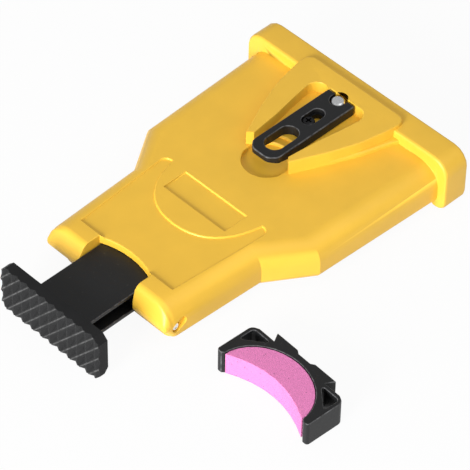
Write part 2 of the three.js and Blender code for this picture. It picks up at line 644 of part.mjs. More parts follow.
// Round dish in the body's top for a fingertip under the latch. It leaves the boss's two legs whole,
// and round it the boss's lower step is cleared down to the body's top.
function fingerDish() {
  const floor = BODY_TOP - DISH_DEPTH;
  const legs = cut(
    extrudeZ(bossShape(BOSS_HALF_WIDTH, BOSS_REAR, BOSS_CORNER_RADIUS), floor, BOSS_TOP + OVERRUN),
    extrudeZ(recessShape(), floor - OVERRUN, BOSS_TOP + 2 * OVERRUN),
  );
  const dish = cylinderZ(DISH_RADIUS, DISH_X, 0, floor, BOSS_TOP, 40);
  const ledge = cylinderZ(DISH_RADIUS + DISH_LEDGE, DISH_X, 0, BODY_TOP, BOSS_TOP, 40);
  return cut(union(dish, ledge), legs);
}
function coverShell() {
  const tierTop = BODY_TOP + TIER_HEIGHT;
  const skinMiddle = BODY_TOP - COVER_WALL / 2;
  let body = union(
    housingForm(0, outerSide(FLANGE_FRONT + FLANGE_EDGE + OVERRUN), PLAN_CORNER_RADIUS, HEM_RADIUS),
    flangeForm(),
    extrudeZ(bossShape(TIER_HALF_WIDTH, FLANGE_FRONT + OVERRUN, 0), skinMiddle, tierTop, BOSS_EDGE, 5),
    extrudeZ(bossShape(BOSS_HALF_WIDTH, BOSS_REAR, BOSS_CORNER_RADIUS), skinMiddle, BOSS_TOP, BOSS_EDGE, 5),
  );

  // The hollow, less the cheeks beside the notch, the lip over it and the thick spots under dish and screw
  const lipRear = NOTCH_SIDE_DEPTH + NOTCH_CROWN + NOTCH_WALL;
  const cheek = NOTCH_HALF_WIDTH + NOTCH_WALL;
  const underDish = BODY_TOP - DISH_DEPTH - DISH_FLOOR_THICKNESS;
  const hollow = cut(
    housingForm(COVER_WALL, hollowSide(FLANGE_FRONT + OVERRUN), HOLLOW_CORNER_RADIUS, INNER_HEM),
    box(0, lipRear, -cheek, cheek, -2 * OVERRUN, BODY_TOP),
    cylinderZ(DISH_RADIUS + DISH_FLOOR_THICKNESS, DISH_X, 0, underDish, BODY_TOP, 32),
    cylinderZ(SCREW_BOSS_RADIUS, SCREW_X, 0, SCREW_BOSS_BOTTOM, BODY_TOP),
    clampRib(1),
    clampRib(-1),
  );
  const slideway = box(
    -NOSE_REACH, lipRear + OVERRUN, -NOTCH_HALF_WIDTH, NOTCH_HALF_WIDTH, -OVERRUN, SLIDE_TOP + GAP,
  );
  const notch = extrudeZ(notchShape(), -OVERRUN, BODY_TOP + OVERRUN, 0, 8);
  const mouth = box(
    FLANGE_FRONT - OVERRUN, HOUSING_LENGTH + OVERRUN, -MOUTH_HALF_WIDTH, MOUTH_HALF_WIDTH,
    -OVERRUN, MOUTH_TOP,
  );
  body = cut(body, hollow, slideway, notch, mouth, reliefCut());

  // The latch's recess, the finger dish, the lock pin's hole and the screw's hole
  const pinHole = LOCK_PIN_RADIUS + PIN_PLAY;
  body = cut(
    body,
    extrudeZ(recessShape(), RECESS_FLOOR, BOSS_TOP + OVERRUN),
    fingerDish(),
    cylinderZ(pinHole, LOCK_PIN_X, 0, 0, BOSS_TOP),
    cylinderZ(pinHole, LOCK_PIN_X + PIN_HOLE_DRIFT, 0, 0, BOSS_TOP),
    box(LOCK_PIN_X, LOCK_PIN_X + PIN_HOLE_DRIFT, -pinHole, pinHole, 0, BOSS_TOP),
    cylinderZ(SCREW_SHANK_RADIUS + GAP / 2, SCREW_X, 0, 0, BOSS_TOP, 16),
  );

  // Hinge: pin holes, the pockets that their ends lie in and room for the base's ears
  for (const side of [-1, 1]) {
    const near = (a, b) => [Math.min(side * a, side * b), Math.max(side * a, side * b)];
    const [p0, p1] = near(0, FLANGE_HALF_WIDTH);
    const [e0, e1] = near(EAR_INNER - GAP, EAR_OUTER + GAP);
    const room = EAR_RADIUS + PIN_PLAY;
    body = cut(
      body,
      cylinderY(HINGE_PIN_RADIUS + PIN_PLAY, HINGE_X, HINGE_Z, p0, p1, 20),
      hingePocket(side, FRONT_HALF_WIDTH),
      cylinderY(room, HINGE_X, HINGE_Z, e0, e1, 24),
      box(HINGE_X - room, HINGE_X, e0, e1, 0, HINGE_Z),
    );
  }
  return body;
}

// Base
function earProfile() {
  const shape = new THREE.Shape();
  const rear = HINGE_X + EAR_ARM_LENGTH;
  const armMeets = Math.asin(EAR_RADIUS / SWEEP_RADIUS);
  const floorMeets = Math.asin((HINGE_Z - BASE_FLOOR / 2) / (SWEEP_RADIUS + HEM_RADIUS));
  shape.moveTo(HINGE_X, HINGE_Z + EAR_RADIUS);
  shape.absarc(HINGE_X, HINGE_Z, EAR_RADIUS, Math.PI / 2, 1.5 * Math.PI);
  shape.lineTo(HINGE_X + SWEEP_RADIUS * Math.cos(armMeets), HINGE_Z - EAR_RADIUS);
  shape.lineTo(HINGE_X + SWEEP_RADIUS * Math.cos(floorMeets) + EAR_RADIUS / 2, BASE_FLOOR / 2);
  shape.lineTo(rear, BASE_FLOOR / 2);
  shape.lineTo(rear, HINGE_Z + EAR_RADIUS);
  shape.closePath();
  return shape;
}
function guideBlock(side) {
  const near = (a, b) => [Math.min(side * a, side * b), Math.max(side * a, side * b)];
  const [g0, g1] = near(SLIDE_HALF_WIDTH + GAP, GUIDE_HALF_WIDTH);
  const [f0, f1] = near(SLIDE_CORE_HALF_WIDTH + GAP, SLIDE_HALF_WIDTH + OVERRUN);
  return union(
    box(GUIDE_FRONT, GUIDE_REAR, g0, g1, BASE_FLOOR / 2, SLIDE_TOP),
    box(
      GUIDE_REAR - FINGER_THICKNESS, GUIDE_REAR, f0, f1,
      CHANNEL_BOTTOM + FINGER_CLEARANCE, CHANNEL_TOP - FINGER_CLEARANCE,
    ),
  );
}
function baseShell() {
  const wallRear = FLANGE_FRONT - GAP;
  const tub = extrudeZ(basePlan(BASE_INSET, wallRear, BASE_CORNER_RADIUS), 0, BASE_WALL_TOP, BASE_UNDER_EDGE);
  const room = extrudeZ(
    basePlan(BASE_INSET + BASE_WALL, wallRear + 2 * BASE_INSET, BASE_CORNER_RADIUS - BASE_WALL),
    BASE_FLOOR, BASE_WALL_TOP + OVERRUN,
  );
  const sweep = cylinderY(SWEEP_RADIUS, HINGE_X, HINGE_Z, -FLANGE_HALF_WIDTH, FLANGE_HALF_WIDTH, 32);
  const slot = NOTCH_HALF_WIDTH;
  const lipRear = NOTCH_SIDE_DEPTH + NOTCH_CROWN + NOTCH_WALL;
  let body = cut(
    tub,
    room,
    sweep,
    box(0, HINGE_X + SWEEP_RADIUS, -FLANGE_HALF_WIDTH, FLANGE_HALF_WIDTH, HINGE_Z, BASE_WALL_TOP + OVERRUN),
    box(0, HINGE_X + SWEEP_RADIUS, -slot, slot, BASE_FLOOR, BASE_WALL_TOP + OVERRUN),
  );

  // Sill under the bar mouth, and the rest that the bar lies on, with the pins' seats
  const restHalf = BAR_REST_HALF_WIDTH;
  body = union(
    body,
    box(wallRear - 2 * BASE_INSET, HOUSING_LENGTH - GAP, -SILL_HALF_WIDTH, SILL_HALF_WIDTH, 0, BASE_FLOOR),
    box(FLANGE_FRONT, HOUSING_LENGTH - GAP, -SILL_HALF_WIDTH, SILL_HALF_WIDTH, 0, MOUTH_SILL),
    box(BAR_REST_FRONT, BAR_REST_REAR, -restHalf, restHalf, BASE_FLOOR / 2, BAR_REST_TOP),
  );

  // Ribs across the floor, and the runners under slide and carriage head
  const lastRib = FLANGE_FRONT - 2 * FLOOR_RIB_LEAD;
  for (let x = SHOULDER_END + FLOOR_RIB_LEAD; x < lastRib; x += FLOOR_RIB_PITCH) {
    const reach = halfWidthAt(x) - BASE_INSET - BASE_WALL / 2;
    const top = BASE_FLOOR + FLOOR_RIB_HEIGHT;
    body = body.add(box(x, x + FLOOR_RIB_THICKNESS, -reach, reach, BASE_FLOOR / 2, top));
  }
  for (const side of [-1, 1]) {
    const outer = side * RUNNER_Y;
    const inner = side * SLIDE_POCKET_HALF_WIDTH;
    const near = (a, b) => [Math.min(side * a, side * b), Math.max(side * a, side * b)];
    const [e0, e1] = near(EAR_INNER, EAR_OUTER);
    const runner = (y, from, to) =>
      box(from, to, y - RUNNER_HALF_WIDTH, y + RUNNER_HALF_WIDTH, BASE_FLOOR / 2, RUNNER_TOP);
    body = union(
      body,
      runner(outer, GUIDE_REAR - OVERRUN, GUIDE_REAR + RUNNER_LENGTH),
      runner(inner, lipRear, GUIDE_REAR),
      guideBlock(side),
      extrudeY(earProfile(), e0, e1, 10),
    );
    body = cut(
      body,
      cylinderY(HINGE_PIN_RADIUS + PIN_PLAY, HINGE_X, HINGE_Z, e0 - OVERRUN, e1 + OVERRUN, 20),
      cylinderZ(
        STRAP_SCREW_RADIUS + PIN_PLAY, STRAP_SCREW_X, side * STRAP_SCREW_Y,
        SLIDE_TOP - STRAP_SCREW_LENGTH - GAP, SLIDE_TOP + OVERRUN, 12,
      ),
    );
  }
  return cut(body, pinSeat(LOCK_PIN_X), pinSeat(LOCATING_PIN_X));
}

// Room in the base for a pin's collar, and for the screw that holds it from below
function pinSeat(x) {
  const headTop = BASE_SCREW_HEAD_HEIGHT + GAP;
  const collarSeat = BAR_REST_TOP - PIN_COLLAR_HEIGHT - GAP;
  return union(
    cylinderZ(PIN_COLLAR_RADIUS + PIN_PLAY, x, 0, collarSeat, BAR_REST_TOP + OVERRUN),
    cylinderZ(BASE_SCREW_RADIUS + PIN_PLAY, x, 0, 0, BAR_REST_TOP, 16),
    cylinderZ(BASE_SCREW_HEAD_RADIUS + PIN_PLAY, x, 0, -OVERRUN, headTop),
  );
}
function basePin(x, radius, top, grooved) {
  const seat = BAR_REST_TOP - PIN_COLLAR_HEIGHT;
  const profile = [[0, seat], [PIN_COLLAR_RADIUS, seat]];
  profile.push([PIN_COLLAR_RADIUS, BAR_REST_TOP], [radius, BAR_REST_TOP]);
  if (grooved) {
    const headBottom = top - LOCK_HEAD_HEIGHT;
    const grooveBottom = headBottom - LOCK_GROOVE_HEIGHT;
    profile.push([radius, grooveBottom], [LOCK_GROOVE_RADIUS, grooveBottom]);
    profile.push([LOCK_GROOVE_RADIUS, headBottom], [radius, headBottom]);
  }
  profile.push([radius, top - PIN_CHAMFER], [radius - PIN_CHAMFER, top], [0, top]);
  const depth = GAP + BASE_SCREW_HEAD_HEIGHT + BASE_SCREW_LENGTH + GAP;
  return cut(turned(profile, x, 0), cylinderZ(BASE_SCREW_RADIUS + PIN_PLAY, x, 0, 0, depth, 16));
}
function baseScrew(x) {
  const head = GAP + BASE_SCREW_HEAD_HEIGHT;
  const body = turned(
    [[0, GAP], [BASE_SCREW_HEAD_RADIUS, GAP], [BASE_SCREW_HEAD_RADIUS, head], [BASE_SCREW_RADIUS, head],
      [BASE_SCREW_RADIUS, head + BASE_SCREW_LENGTH], [0, head + BASE_SCREW_LENGTH]],
    x, 0, 20,
  );
  return cut(body, crossRecess(x, 0, GAP + SHALLOW_CROSS_DEPTH, -1, BASE_SCREW_HEAD_RADIUS));
}

// A cross recess cut up or down from a screw head's face, to a given level
function crossRecess(x, y, level, way, headRadius) {
  const reach = Math.min(SCREW_CROSS_LENGTH / 2, headRadius * SCREW_CROSS_SHARE);
  const half = SCREW_CROSS_WIDTH / 2;
  const [z0, z1] = way > 0 ? [level, level + SCREW_LENGTH] : [level - SCREW_LENGTH, level];
  return union(
    box(x - reach, x + reach, y - half, y + half, z0, z1),
    box(x - half, x + half, y - reach, y + reach, z0, z1),
  );
}
function hingePin(side) {
  const outer = FRONT_HALF_WIDTH - HINGE_POCKET_DEPTH / 2;
  const inner = NOTCH_HALF_WIDTH + GAP;
  const [y0, y1] = side > 0 ? [inner, outer] : [-outer, -inner];
  return cylinderY(HINGE_PIN_RADIUS, HINGE_X, HINGE_Z, y0, y1, 20);
}
function slideStrap() {
  const shape = outline(mirrored([
    [GUIDE_FRONT + STRAP_MARGIN, GUIDE_HALF_WIDTH - STRAP_MARGIN, STRAP_THICKNESS],
    [GUIDE_REAR - STRAP_MARGIN, GUIDE_HALF_WIDTH - STRAP_MARGIN, STRAP_THICKNESS],
  ]));
  const bottom = SLIDE_TOP + GAP;
  const top = bottom + STRAP_THICKNESS;
  const small = STRAP_SCREW_RADIUS + PIN_PLAY;
  const large = STRAP_SCREW_HEAD_RADIUS + PIN_PLAY;
  const holes = [-1, 1].map((side) => union(
    cylinderZ(small, STRAP_SCREW_X, side * STRAP_SCREW_Y, bottom, top, 20, large),
    cylinderZ(small, STRAP_SCREW_X, side * STRAP_SCREW_Y, bottom - OVERRUN, bottom + OVERRUN, 20),
  ));
  return cut(extrudeZ(shape, bottom, top), ...holes);
}
function strapScrew(side) {
  const top = SLIDE_TOP + GAP + STRAP_THICKNESS;
  const neck = SLIDE_TOP + GAP;
  const bottom = SLIDE_TOP - STRAP_SCREW_LENGTH;
  const y = side * STRAP_SCREW_Y;
  const shank = STRAP_SCREW_RADIUS;
  const profile = [[0, bottom], [shank, bottom], [shank, neck], [STRAP_SCREW_HEAD_RADIUS, top], [0, top]];
  return cut(
    turned(profile, STRAP_SCREW_X, y, 20),
    crossRecess(STRAP_SCREW_X, y, top - SHALLOW_CROSS_DEPTH, 1, STRAP_SCREW_HEAD_RADIUS),
  );
}

// Latch
function slotZ(x0, x1, radius, z0, z1) {
  const shape = new THREE.Shape();
  const half = Math.PI / 2;
  shape.absarc(x0, 0, radius, half, 3 * half);
  shape.absarc(x1, 0, radius, -half, half);
  shape.closePath();
  return extrudeZ(shape, z0, z1, 0, 8);
}
function latchPlate() {
  const bottom = RECESS_FLOOR + GAP;
  const shape = outline(mirrored([
    [LATCH_FRONT, LATCH_HALF_WIDTH - LATCH_CHAMFER, LATCH_CHAMFER],
    [LATCH_FRONT + LATCH_CHAMFER, LATCH_HALF_WIDTH, LATCH_CHAMFER],
    [LATCH_REAR, LATCH_HALF_WIDTH, 2 * LATCH_EDGE],
  ]));
  const head = SCREW_HEAD_RADIUS + PIN_PLAY;
  const shelf = LATCH_TOP - SCREW_HEAD_HEIGHT - 2 * GAP;
  const pin = LOCK_PIN_RADIUS + 2 * PIN_PLAY;
  return cut(
    extrudeZ(shape, bottom, LATCH_TOP, LATCH_EDGE),
    slotZ(
      LATCH_HOLE_FRONT + LATCH_HOLE_HALF_WIDTH, LATCH_HOLE_REAR - LATCH_HOLE_HALF_WIDTH,
      LATCH_HOLE_HALF_WIDTH, bottom - OVERRUN, LATCH_TOP + OVERRUN,
    ),
    slotZ(SCREW_X, SCREW_X + LATCH_TRAVEL, head, shelf, LATCH_TOP + OVERRUN),
    slotZ(SCREW_X, SCREW_X + LATCH_TRAVEL, BUSH_RADIUS + PIN_PLAY, bottom - OVERRUN, LATCH_TOP),
    slotZ(LOCK_PIN_X, LATCH_REAR + 2 * pin, pin, bottom - OVERRUN, LATCH_TOP + OVERRUN),
    latchRamp(bottom),
  );
}

// The latch's underside rises to a thin tip that a fingernail can reach under
function latchRamp(bottom) {
  const rise = LATCH_THICKNESS - LATCH_TIP_THICKNESS;
  const shape = new THREE.Shape([
    new THREE.Vector2(LATCH_FRONT + LATCH_RAMP_LENGTH, bottom),
    new THREE.Vector2(LATCH_FRONT - OVERRUN, bottom + rise * (1 + OVERRUN / LATCH_RAMP_LENGTH)),
    new THREE.Vector2(LATCH_FRONT - OVERRUN, bottom - OVERRUN),
    new THREE.Vector2(LATCH_FRONT + LATCH_RAMP_LENGTH, bottom - OVERRUN),
  ]);
  return extrudeY(shape, -LATCH_HALF_WIDTH - OVERRUN, LATCH_HALF_WIDTH + OVERRUN);
}
const screwHeadBottom = () => LATCH_TOP - SCREW_HEAD_HEIGHT - GAP;
function latchScrew() {
  const top = LATCH_TOP - GAP;
  const neck = screwHeadBottom();
  const bottom = neck - SCREW_LENGTH;
  const body = turned(
    [[0, bottom], [SCREW_SHANK_RADIUS, bottom], [SCREW_SHANK_RADIUS, neck], [SCREW_HEAD_RADIUS, neck],
      [SCREW_HEAD_RADIUS, top - PIN_CHAMFER], [SCREW_HEAD_RADIUS - PIN_CHAMFER, top], [0, top]],
    SCREW_X, 0, 20,
  );
  return cut(body, crossRecess(SCREW_X, 0, top - SCREW_CROSS_DEPTH, 1, SCREW_HEAD_RADIUS));
}
function latchBush() {
  const bottom = RECESS_FLOOR + GAP;
  const top = screwHeadBottom() - GAP;
  return cut(
    cylinderZ(BUSH_RADIUS, SCREW_X, 0, bottom, top),
    cylinderZ(SCREW_SHANK_RADIUS + GAP / 2, SCREW_X, 0, bottom - OVERRUN, top + OVERRUN, 16),
  );
}

// Slide and carriage head in one moulding
function slideCarriage() {
  const top = SLIDE_TOP;
  const bar = box(SLIDE_FRONT, HEAD_REAR, -SLIDE_HALF_WIDTH, SLIDE_HALF_WIDTH, SLIDE_BOTTOM, top);
  const head = box(HEAD_FRONT, HEAD_REAR, -HEAD_HALF_WIDTH, HEAD_HALF_WIDTH, SLIDE_BOTTOM, top);
  const cuts = [];
  for (const side of [-1, 1]) {
    const near = (a, b) => [Math.min(side * a, side * b), Math.max(side * a, side * b)];
    const [c0, c1] = near(SLIDE_CORE_HALF_WIDTH, SLIDE_HALF_WIDTH + OVERRUN);
    cuts.push(box(SLIDE_FRONT + SLIDE_PLATE, SPRING_SEAT_X, c0, c1, CHANNEL_BOTTOM, CHANNEL_TOP));
    cuts.push(box(SPRING_SEAT_X + SPRING_SEAT_THICKNESS, HEAD_FRONT, c0, c1, CHANNEL_BOTTOM, CHANNEL_TOP));
  }
  for (let i = 0; i < 2; i++) {
    const x = SLIDE_POCKET_FRONT + i * SLIDE_POCKET_SPACING;
    const half = SLIDE_POCKET_HALF_WIDTH - SLIDE_PLATE;
    cuts.push(box(x, x + SLIDE_POCKET_LENGTH, -half, half, SLIDE_BOTTOM - OVERRUN, CHANNEL_TOP));
  }
  const tenonHalf = TENON_HALF_WIDTH + GAP;
  const tenonRise = TENON_HEIGHT / 2 + GAP;
  cuts.push(box(
    SLIDE_FRONT - OVERRUN, SLIDE_FRONT + TENON_LENGTH, -tenonHalf, tenonHalf,
    SLIDE_MIDDLE - tenonRise, SLIDE_MIDDLE + tenonRise,
  ));
  cuts.push(cylinderY(
    ROLL_PIN_RADIUS + PIN_PLAY, rollPinX(), SLIDE_MIDDLE, -SLIDE_HALF_WIDTH, SLIDE_HALF_WIDTH, 16,
  ));
  return cut(union(bar, head), ...cuts, dovetailSocket());
}
const rollPinX = () => SLIDE_FRONT + TENON_LENGTH / 2;

// The female dovetail in the carriage head, open above, below and behind
function dovetailSocket() {
  const mouth = HEAD_REAR + OVERRUN;
  const depth = HEAD_REAR - RAIL_DEPTH;
  const flare = (RAIL_HALF_LENGTH - RAIL_NECK_HALF_LENGTH) / RAIL_DEPTH;
  const neck = RAIL_NECK_HALF_LENGTH + GAP - flare * OVERRUN;
  const shape = outline([
    [depth, -RAIL_HALF_LENGTH - GAP],
    [mouth, -neck],
    [mouth, neck],
    [depth, RAIL_HALF_LENGTH + GAP],
  ]);
  return extrudeZ(shape, SLIDE_BOTTOM - OVERRUN, SLIDE_TOP + OVERRUN);
}

// The pad: a knurled plate whose underside rises towards the slide, and a tenon
function pushPad() {
  const rear = PAD_FRONT + PAD_THICKNESS;
  const half = PAD_HALF_WIDTH;
  const shape = outline([
    [-half + PAD_CHAMFER, PAD_BOTTOM], [half - PAD_CHAMFER, PAD_BOTTOM], [half, PAD_BOTTOM + PAD_CHAMFER],
    [half, PAD_TOP - PAD_CHAMFER], [half - PAD_CHAMFER, PAD_TOP], [-half + PAD_CHAMFER, PAD_TOP],
    [-half, PAD_TOP - PAD_CHAMFER], [-half, PAD_BOTTOM + PAD_CHAMFER],
  ]);
  const plate = extrudeX(shape, PAD_FRONT, rear);
  const rise = TENON_HEIGHT / 2;
  const tenon = box(
    rear - OVERRUN, SLIDE_FRONT + TENON_LENGTH - GAP, -TENON_HALF_WIDTH, TENON_HALF_WIDTH,
    SLIDE_MIDDLE - rise, SLIDE_MIDDLE + rise,
  );
  const cross = cylinderY(
    ROLL_PIN_RADIUS + PIN_PLAY, rollPinX(), SLIDE_MIDDLE, -SLIDE_HALF_WIDTH, SLIDE_HALF_WIDTH, 16,
  );
  const heel = new THREE.Shape([
    new THREE.Vector2(rear - PAD_HEEL_LENGTH, PAD_BOTTOM),
    new THREE.Vector2(rear - PAD_HEEL_LENGTH, PAD_BOTTOM - OVERRUN),
    new THREE.Vector2(rear + OVERRUN, PAD_BOTTOM - OVERRUN),
    new THREE.Vector2(rear + OVERRUN, PAD_BOTTOM + PAD_HEEL_RISE * (1 + OVERRUN / PAD_HEEL_LENGTH)),
  ]);
  return cut(union(plate, tenon), cross, knurlGrooves(), extrudeY(heel, -half - OVERRUN, half + OVERRUN));
}

// V grooves across the pad's face along both diagonals
function knurlGrooves() {
  const vee = new THREE.Shape();
  vee.moveTo(-KNURL_HALF_WIDTH, -KNURL_LIFT);
  vee.lineTo(KNURL_HALF_WIDTH, -KNURL_LIFT);
  vee.lineTo(KNURL_HALF_WIDTH, 0);
  vee.lineTo(0, KNURL_DEPTH);
  vee.lineTo(-KNURL_HALF_WIDTH, 0);
  vee.closePath();
  const height = PAD_TOP - PAD_BOTTOM;
  const tilt = THREE.MathUtils.degToRad(KNURL_ANGLE);
  const run = height / Math.tan(tilt);
  const length = (height + 4 * KNURL_HALF_WIDTH) / Math.sin(tilt);
  const count = Math.ceil((PAD_HALF_WIDTH + run / 2) / KNURL_PITCH);
  const grooves = [];
  for (const way of [-1, 1]) {
    for (let i = -count; i <= count; i++) {
      const y = (i + (way > 0 ? 0 : 0.5)) * KNURL_PITCH;
      const geometry = new THREE.ExtrudeGeometry(vee, { depth: length, bevelEnabled: false });
      geometry.translate(0, 0, -length / 2);
      const frame = new THREE.Matrix4().makeBasis(
        new THREE.Vector3(0, Math.sin(tilt), -way * Math.cos(tilt)),
        new THREE.Vector3(1, 0, 0),
        new THREE.Vector3(0, way * Math.cos(tilt), Math.sin(tilt)),
      );
      if (frame.determinant() < 0) {
        frame.makeBasis(
          new THREE.Vector3(0, -Math.sin(tilt), way * Math.cos(tilt)),
          new THREE.Vector3(1, 0, 0),
          new THREE.Vector3(0, way * Math.cos(tilt), Math.sin(tilt)),
        );
      }
      geometry.applyMatrix4(frame);
      geometry.translate(PAD_FRONT, y, (PAD_TOP + PAD_BOTTOM) / 2);
      grooves.push(solid(geometry));
    }
  }
  return union(...grooves);
}
function rollPin() {
  const half = SLIDE_CORE_HALF_WIDTH;
  const bore = ROLL_PIN_RADIUS * ROLL_PIN_BORE_SHARE;
  return cut(
    cylinderY(ROLL_PIN_RADIUS, rollPinX(), SLIDE_MIDDLE, -half, half, 16),
    cylinderY(bore, rollPinX(), SLIDE_MIDDLE, -half - OVERRUN, half + OVERRUN, 12),
  );
}

// Return spring: one unbroken helix along the slide's side channel
function returnSpring(side) {
  const x0 = SPRING_SEAT_X + SPRING_SEAT_THICKNESS + GAP + SPRING_WIRE / 2;
  const x1 = GUIDE_REAR - FINGER_THICKNESS - GAP - SPRING_WIRE / 2;
  const y = side * (SLIDE_CORE_HALF_WIDTH + GAP / 2 + SPRING_RADIUS + SPRING_WIRE / 2);
  const steps = SPRING_TURNS * SPRING_STEPS;
  const wire = SPRING_WIRE / 2;
  const lead = (x1 - x0) / (2 * Math.PI * SPRING_TURNS);
  const positions = [];
  const centres = [];
  for (let i = 0; i <= steps; i++) {
    const angle = (2 * Math.PI * i) / SPRING_STEPS;
    const radial = new THREE.Vector3(0, Math.cos(angle), Math.sin(angle));
    const along = new THREE.Vector3(lead, -SPRING_RADIUS * Math.sin(angle), SPRING_RADIUS * Math.cos(angle));
    const third = new THREE.Vector3().crossVectors(along.normalize(), radial);
    const centre = new THREE.Vector3(x0 + ((x1 - x0) * i) / steps, y, SLIDE_MIDDLE);
    centre.addScaledVector(radial, SPRING_RADIUS);
    centres.push(centre);
    for (let j = 0; j < SPRING_SIDES; j++) {
      const turn = (2 * Math.PI * j) / SPRING_SIDES;
      const point = centre.clone().addScaledVector(radial, wire * Math.cos(turn));
      point.addScaledVector(third, wire * Math.sin(turn));
      positions.push(point.x, point.y, point.z);
    }
  }
  const faces = [];
  for (let i = 0; i < steps; i++) {
    for (let j = 0; j < SPRING_SIDES; j++) {
      const a = i * SPRING_SIDES + j;
      const b = i * SPRING_SIDES + ((j + 1) % SPRING_SIDES);
      faces.push(a, b, b + SPRING_SIDES, a, b + SPRING_SIDES, a + SPRING_SIDES);
    }
  }
  const last = steps * SPRING_SIDES;
  for (let j = 1; j + 1 < SPRING_SIDES; j++) {
    faces.push(0, j + 1, j, last, last + j, last + j + 1);
  }
  const geometry = new THREE.BufferGeometry();
  geometry.setAttribute("position", new THREE.BufferAttribute(new Float32Array(positions), 3));
  geometry.setIndex(faces);
  geometry.computeVertexNormals();
  return { geometry, gap: selfGap(centres) };
}

// Least distance between turns, measured on the wire's centre line less the wire itself
function selfGap(centres) {
  let least = Infinity;
  centres.forEach((a, i) => {
    for (let j = i + SPRING_STEPS - 1; j < centres.length; j++) {
      least = Math.min(least, a.distanceTo(centres[j]));
    }
  });
  return least - SPRING_WIRE;
}

// Grinding stone: a crescent, hollow towards the chain
function stoneShape(inset, hollow = STONE_HOLLOW) {
  const half = STONE_HALF_LENGTH - inset;
  const back = STONE_BACK - inset;
  const end = STONE_END_DEPTH;
  const front = inset - STONE_PROUD;
  const cheek = end + (back - end) * STONE_CHEEK_SHARE;
  const cheekHalf = half * STONE_CHEEK_WIDTH_SHARE;
  const crown = half * STONE_CROWN_SHARE;
  const shape = new THREE.Shape();
  shape.moveTo(front, -half);
  shape.quadraticCurveTo(front + 2 * hollow, 0, front, half);
  shape.lineTo(end, half);
  shape.bezierCurveTo(cheek, cheekHalf, back, crown, back, 0);
  shape.bezierCurveTo(back, -crown, cheek, -cheekHalf, end, -half);
  shape.closePath();
  return shape;
}
function stone() {
  return extrudeZ(stoneShape(0), GAP, CARTRIDGE_HEIGHT - GAP, 0, 8);
}

// Stone holder: tabs round the stone's ends, corner windows and a dovetail rail on its back
function holder() {
  const half = HOLDER_HALF_LENGTH;
  const back = HOLDER_DEPTH;
  const rear = HOLDER_DEPTH + RAIL_DEPTH;
  const side = [
    [-HOLDER_TAB_REACH, half, HOLDER_TAB_REACH],
    [back - HOLDER_CORNER / 2, half, HOLDER_CORNER],
    [back, half - HOLDER_CORNER, HOLDER_CORNER / 2],
    [back, RAIL_NECK_HALF_LENGTH, 0],
    [rear, RAIL_HALF_LENGTH, 0],
    [rear, RAIL_DIP_HALF_LENGTH + RAIL_DIP_SLOPE, 0],
    [rear - RAIL_DIP, RAIL_DIP_HALF_LENGTH, 0],
  ];
  const block = extrudeZ(outline(mirrored(side)), 0, CARTRIDGE_HEIGHT);
  const seat = extrudeZ(stoneShape(-GAP, -OVERRUN), -OVERRUN, CARTRIDGE_HEIGHT + OVERRUN, 0, 8);
  const gate = outline(mirrored([
    [-HOLDER_TAB_REACH - OVERRUN, STONE_HALF_LENGTH + GAP + HOLDER_TAB_REACH + OVERRUN, 0],
    [0, STONE_HALF_LENGTH + GAP, HOLDER_TAB_REACH],
    [STONE_END_DEPTH, STONE_HALF_LENGTH + GAP, 0],
  ]));
  const front = extrudeZ(gate, -OVERRUN, CARTRIDGE_HEIGHT + OVERRUN);
  return cut(block, seat, front, cornerWindow(1), cornerWindow(-1));
}

// Three-cornered window through the holder between the stone's back and the outer corner
function cornerWindow(side) {
  const outer = HOLDER_HALF_LENGTH - WINDOW_WALL;
  const rear = HOLDER_DEPTH - WINDOW_WALL;
  const corners = [
    [rear - WINDOW_DEPTH, outer, WINDOW_CORNER],
    [rear, outer, 2 * WINDOW_CORNER],
    [rear, outer - WINDOW_LENGTH, WINDOW_CORNER],
  ].map(([u, v, r]) => [u, side * v, r]);
  return extrudeZ(outline(side > 0 ? corners : corners.reverse()), -OVERRUN, CARTRIDGE_HEIGHT + OVERRUN);
}

// Assembly
function piece(name, shape, material) {
  const geometry = shape.isBufferGeometry ? shape : geometryOf(shape);
  const mesh = new THREE.Mesh(geometry, material);
  mesh.name = name;
  return mesh;
}
function placed(x, y, z, yaw, ...pieces) {
  const group = new THREE.Group();
  group.position.set(x, y, z);
  group.rotation.z = THREE.MathUtils.degToRad(yaw);
  group.add(...pieces);
  return group;
}

const springs = [returnSpring(1), returnSpring(-1)];
console.log(`return springs: least gap between turns ${springs[0].gap.toFixed(2)} mm`);

const base = new THREE.Group();
base.add(
  piece("base_shell", baseShell(), housingYellow()),
  piece("hinge_pin_left", hingePin(1), steel()),
  piece("hinge_pin_right", hingePin(-1), steel()),
  piece("lock_pin", basePin(LOCK_PIN_X, LOCK_PIN_RADIUS, LOCK_PIN_TOP, true), steel()),
  piece("lock_pin_screw", baseScrew(LOCK_PIN_X), steel()),
  piece("locating_pin", basePin(LOCATING_PIN_X, LOCATING_PIN_RADIUS, LOCATING_PIN_TOP, false), steel()),
  piece("locating_pin_screw", baseScrew(LOCATING_PIN_X), steel()),
  piece("slide_strap", slideStrap(), steel()),
  piece("strap_screw_left", strapScrew(1), blackSteel()),
  piece("strap_screw_right", strapScrew(-1), blackSteel()),
  piece("return_spring_left", springs[0].geometry, steel()),
  piece("return_spring_right", springs[1].geometry, steel()),
);

const cover = new THREE.Group();
cover.add(
  piece("cover_shell", coverShell(), housingYellow()),
  piece("latch_screw", latchScrew(), blackSteel()),
  piece("latch_bush", latchBush(), steel()),
);

const latch = new THREE.Group();
latch.add(piece("latch_plate", latchPlate(), blackPlastic()));

